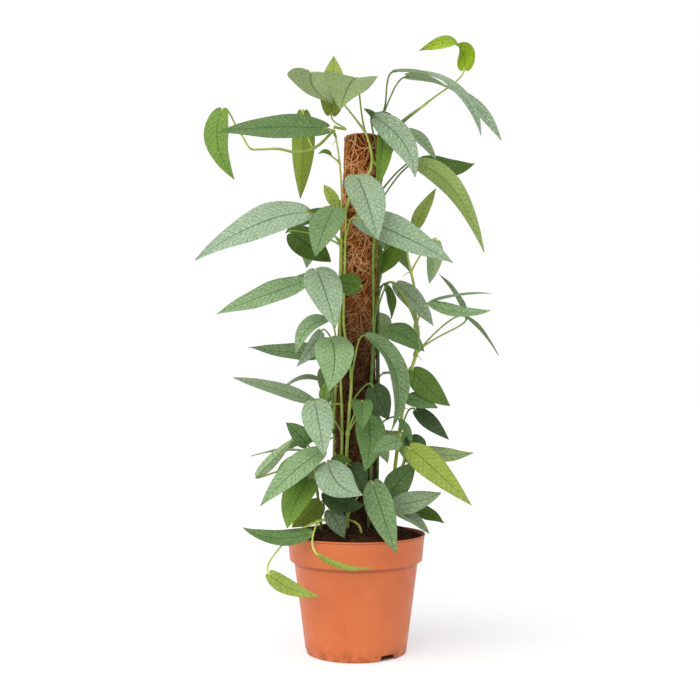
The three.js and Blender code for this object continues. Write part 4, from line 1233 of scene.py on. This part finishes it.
# %% [markdown]
# ## The studio
# The plant stands in a white room on a white floor. A soft key light comes from high on the left and a
# weaker fill from the right. Both are suns with a wide disc, because a sun lights the far floor as
# brightly as the near floor, so floor and room run into each other. The room looks white but lends only
# part of its light, or the leaves would lose their shading. The floor glows a little of its own, which
# keeps the plant's shadow on it pale, but not under the pot, which stays dark. The Standard view shows
# colours as painted.

# %% Floor and light
FLOOR_HALF, FLOOR_GREY, FLOOR_GLOW = 40.0, 0.45, 0.55
floor_corners = [(x * FLOOR_HALF, y * FLOOR_HALF, 0) for x, y in ((-1, -1), (1, -1), (1, 1), (-1, 1))]
floor_mesh = mesh_of("floor", floor_corners, [(0, 1, 2, 3)], smooth=False)
floor = put_object("studio_floor", floor_mesh)
white = Finish("studio white", roughness=0.9)
white.set("Base Color", (FLOOR_GREY, FLOOR_GREY, FLOOR_GREY, 1))
white.set("Emission Color", (1, 1, 1, 1))
from_pot = white.add("VectorMath", {0: white.place()}, operation="LENGTH").outputs["Value"]
white.give("Emission Strength", white.spread(
    from_pot, (POT_FOOT - 8) * MM, (POT_FOOT + 2) * MM, 0.0, FLOOR_GLOW))
floor_mesh.materials.append(white.material)

ROOM_LOOK, ROOM_LIGHT = 1.0, 0.45
world = bpy.data.worlds.new("studio")
bpy.context.scene.world = world
world.use_nodes = True
room = world.node_tree.nodes["Background"]
room.inputs["Color"].default_value = (1, 1, 1, 1)
seen = add_node(world.node_tree, "ShaderNodeLightPath").outputs["Is Camera Ray"]
strength = add_node(world.node_tree, "ShaderNodeMapRange", {0: seen, 3: ROOM_LIGHT, 4: ROOM_LOOK})
world.node_tree.links.new(strength.outputs[0], room.inputs["Strength"])
bpy.context.scene.view_settings.view_transform = "Standard"


def soft_sun(name, place, strength, disc):
    lamp = bpy.data.lights.new(name, "SUN")
    lamp.energy, lamp.angle = strength, math.radians(disc)
    made = put_object(name, lamp)
    made.rotation_euler = (-Vector(place)).to_track_quat("-Z", "Y").to_euler()


soft_sun("key", (-1.2, -1.4, 2.1), 2.75, 70)
soft_sun("fill", (1.5, -1.2, 1.0), 0.3, 60)

# %% [markdown]
# The camera stands level, a little over a metre away. The picture is shifted up instead of tilting the
# camera, so the pot's sides stay upright.

# %% Camera
camera = put_object("camera", bpy.data.cameras.new("camera"))
camera.location = (-0.0074, -1.205, 0.3078)
camera.rotation_euler = (math.radians(90), 0, 0)
camera.data.sensor_width = 36
camera.data.lens = 50.4
camera.data.shift_y = 50 / 700
bpy.context.scene.camera = camera
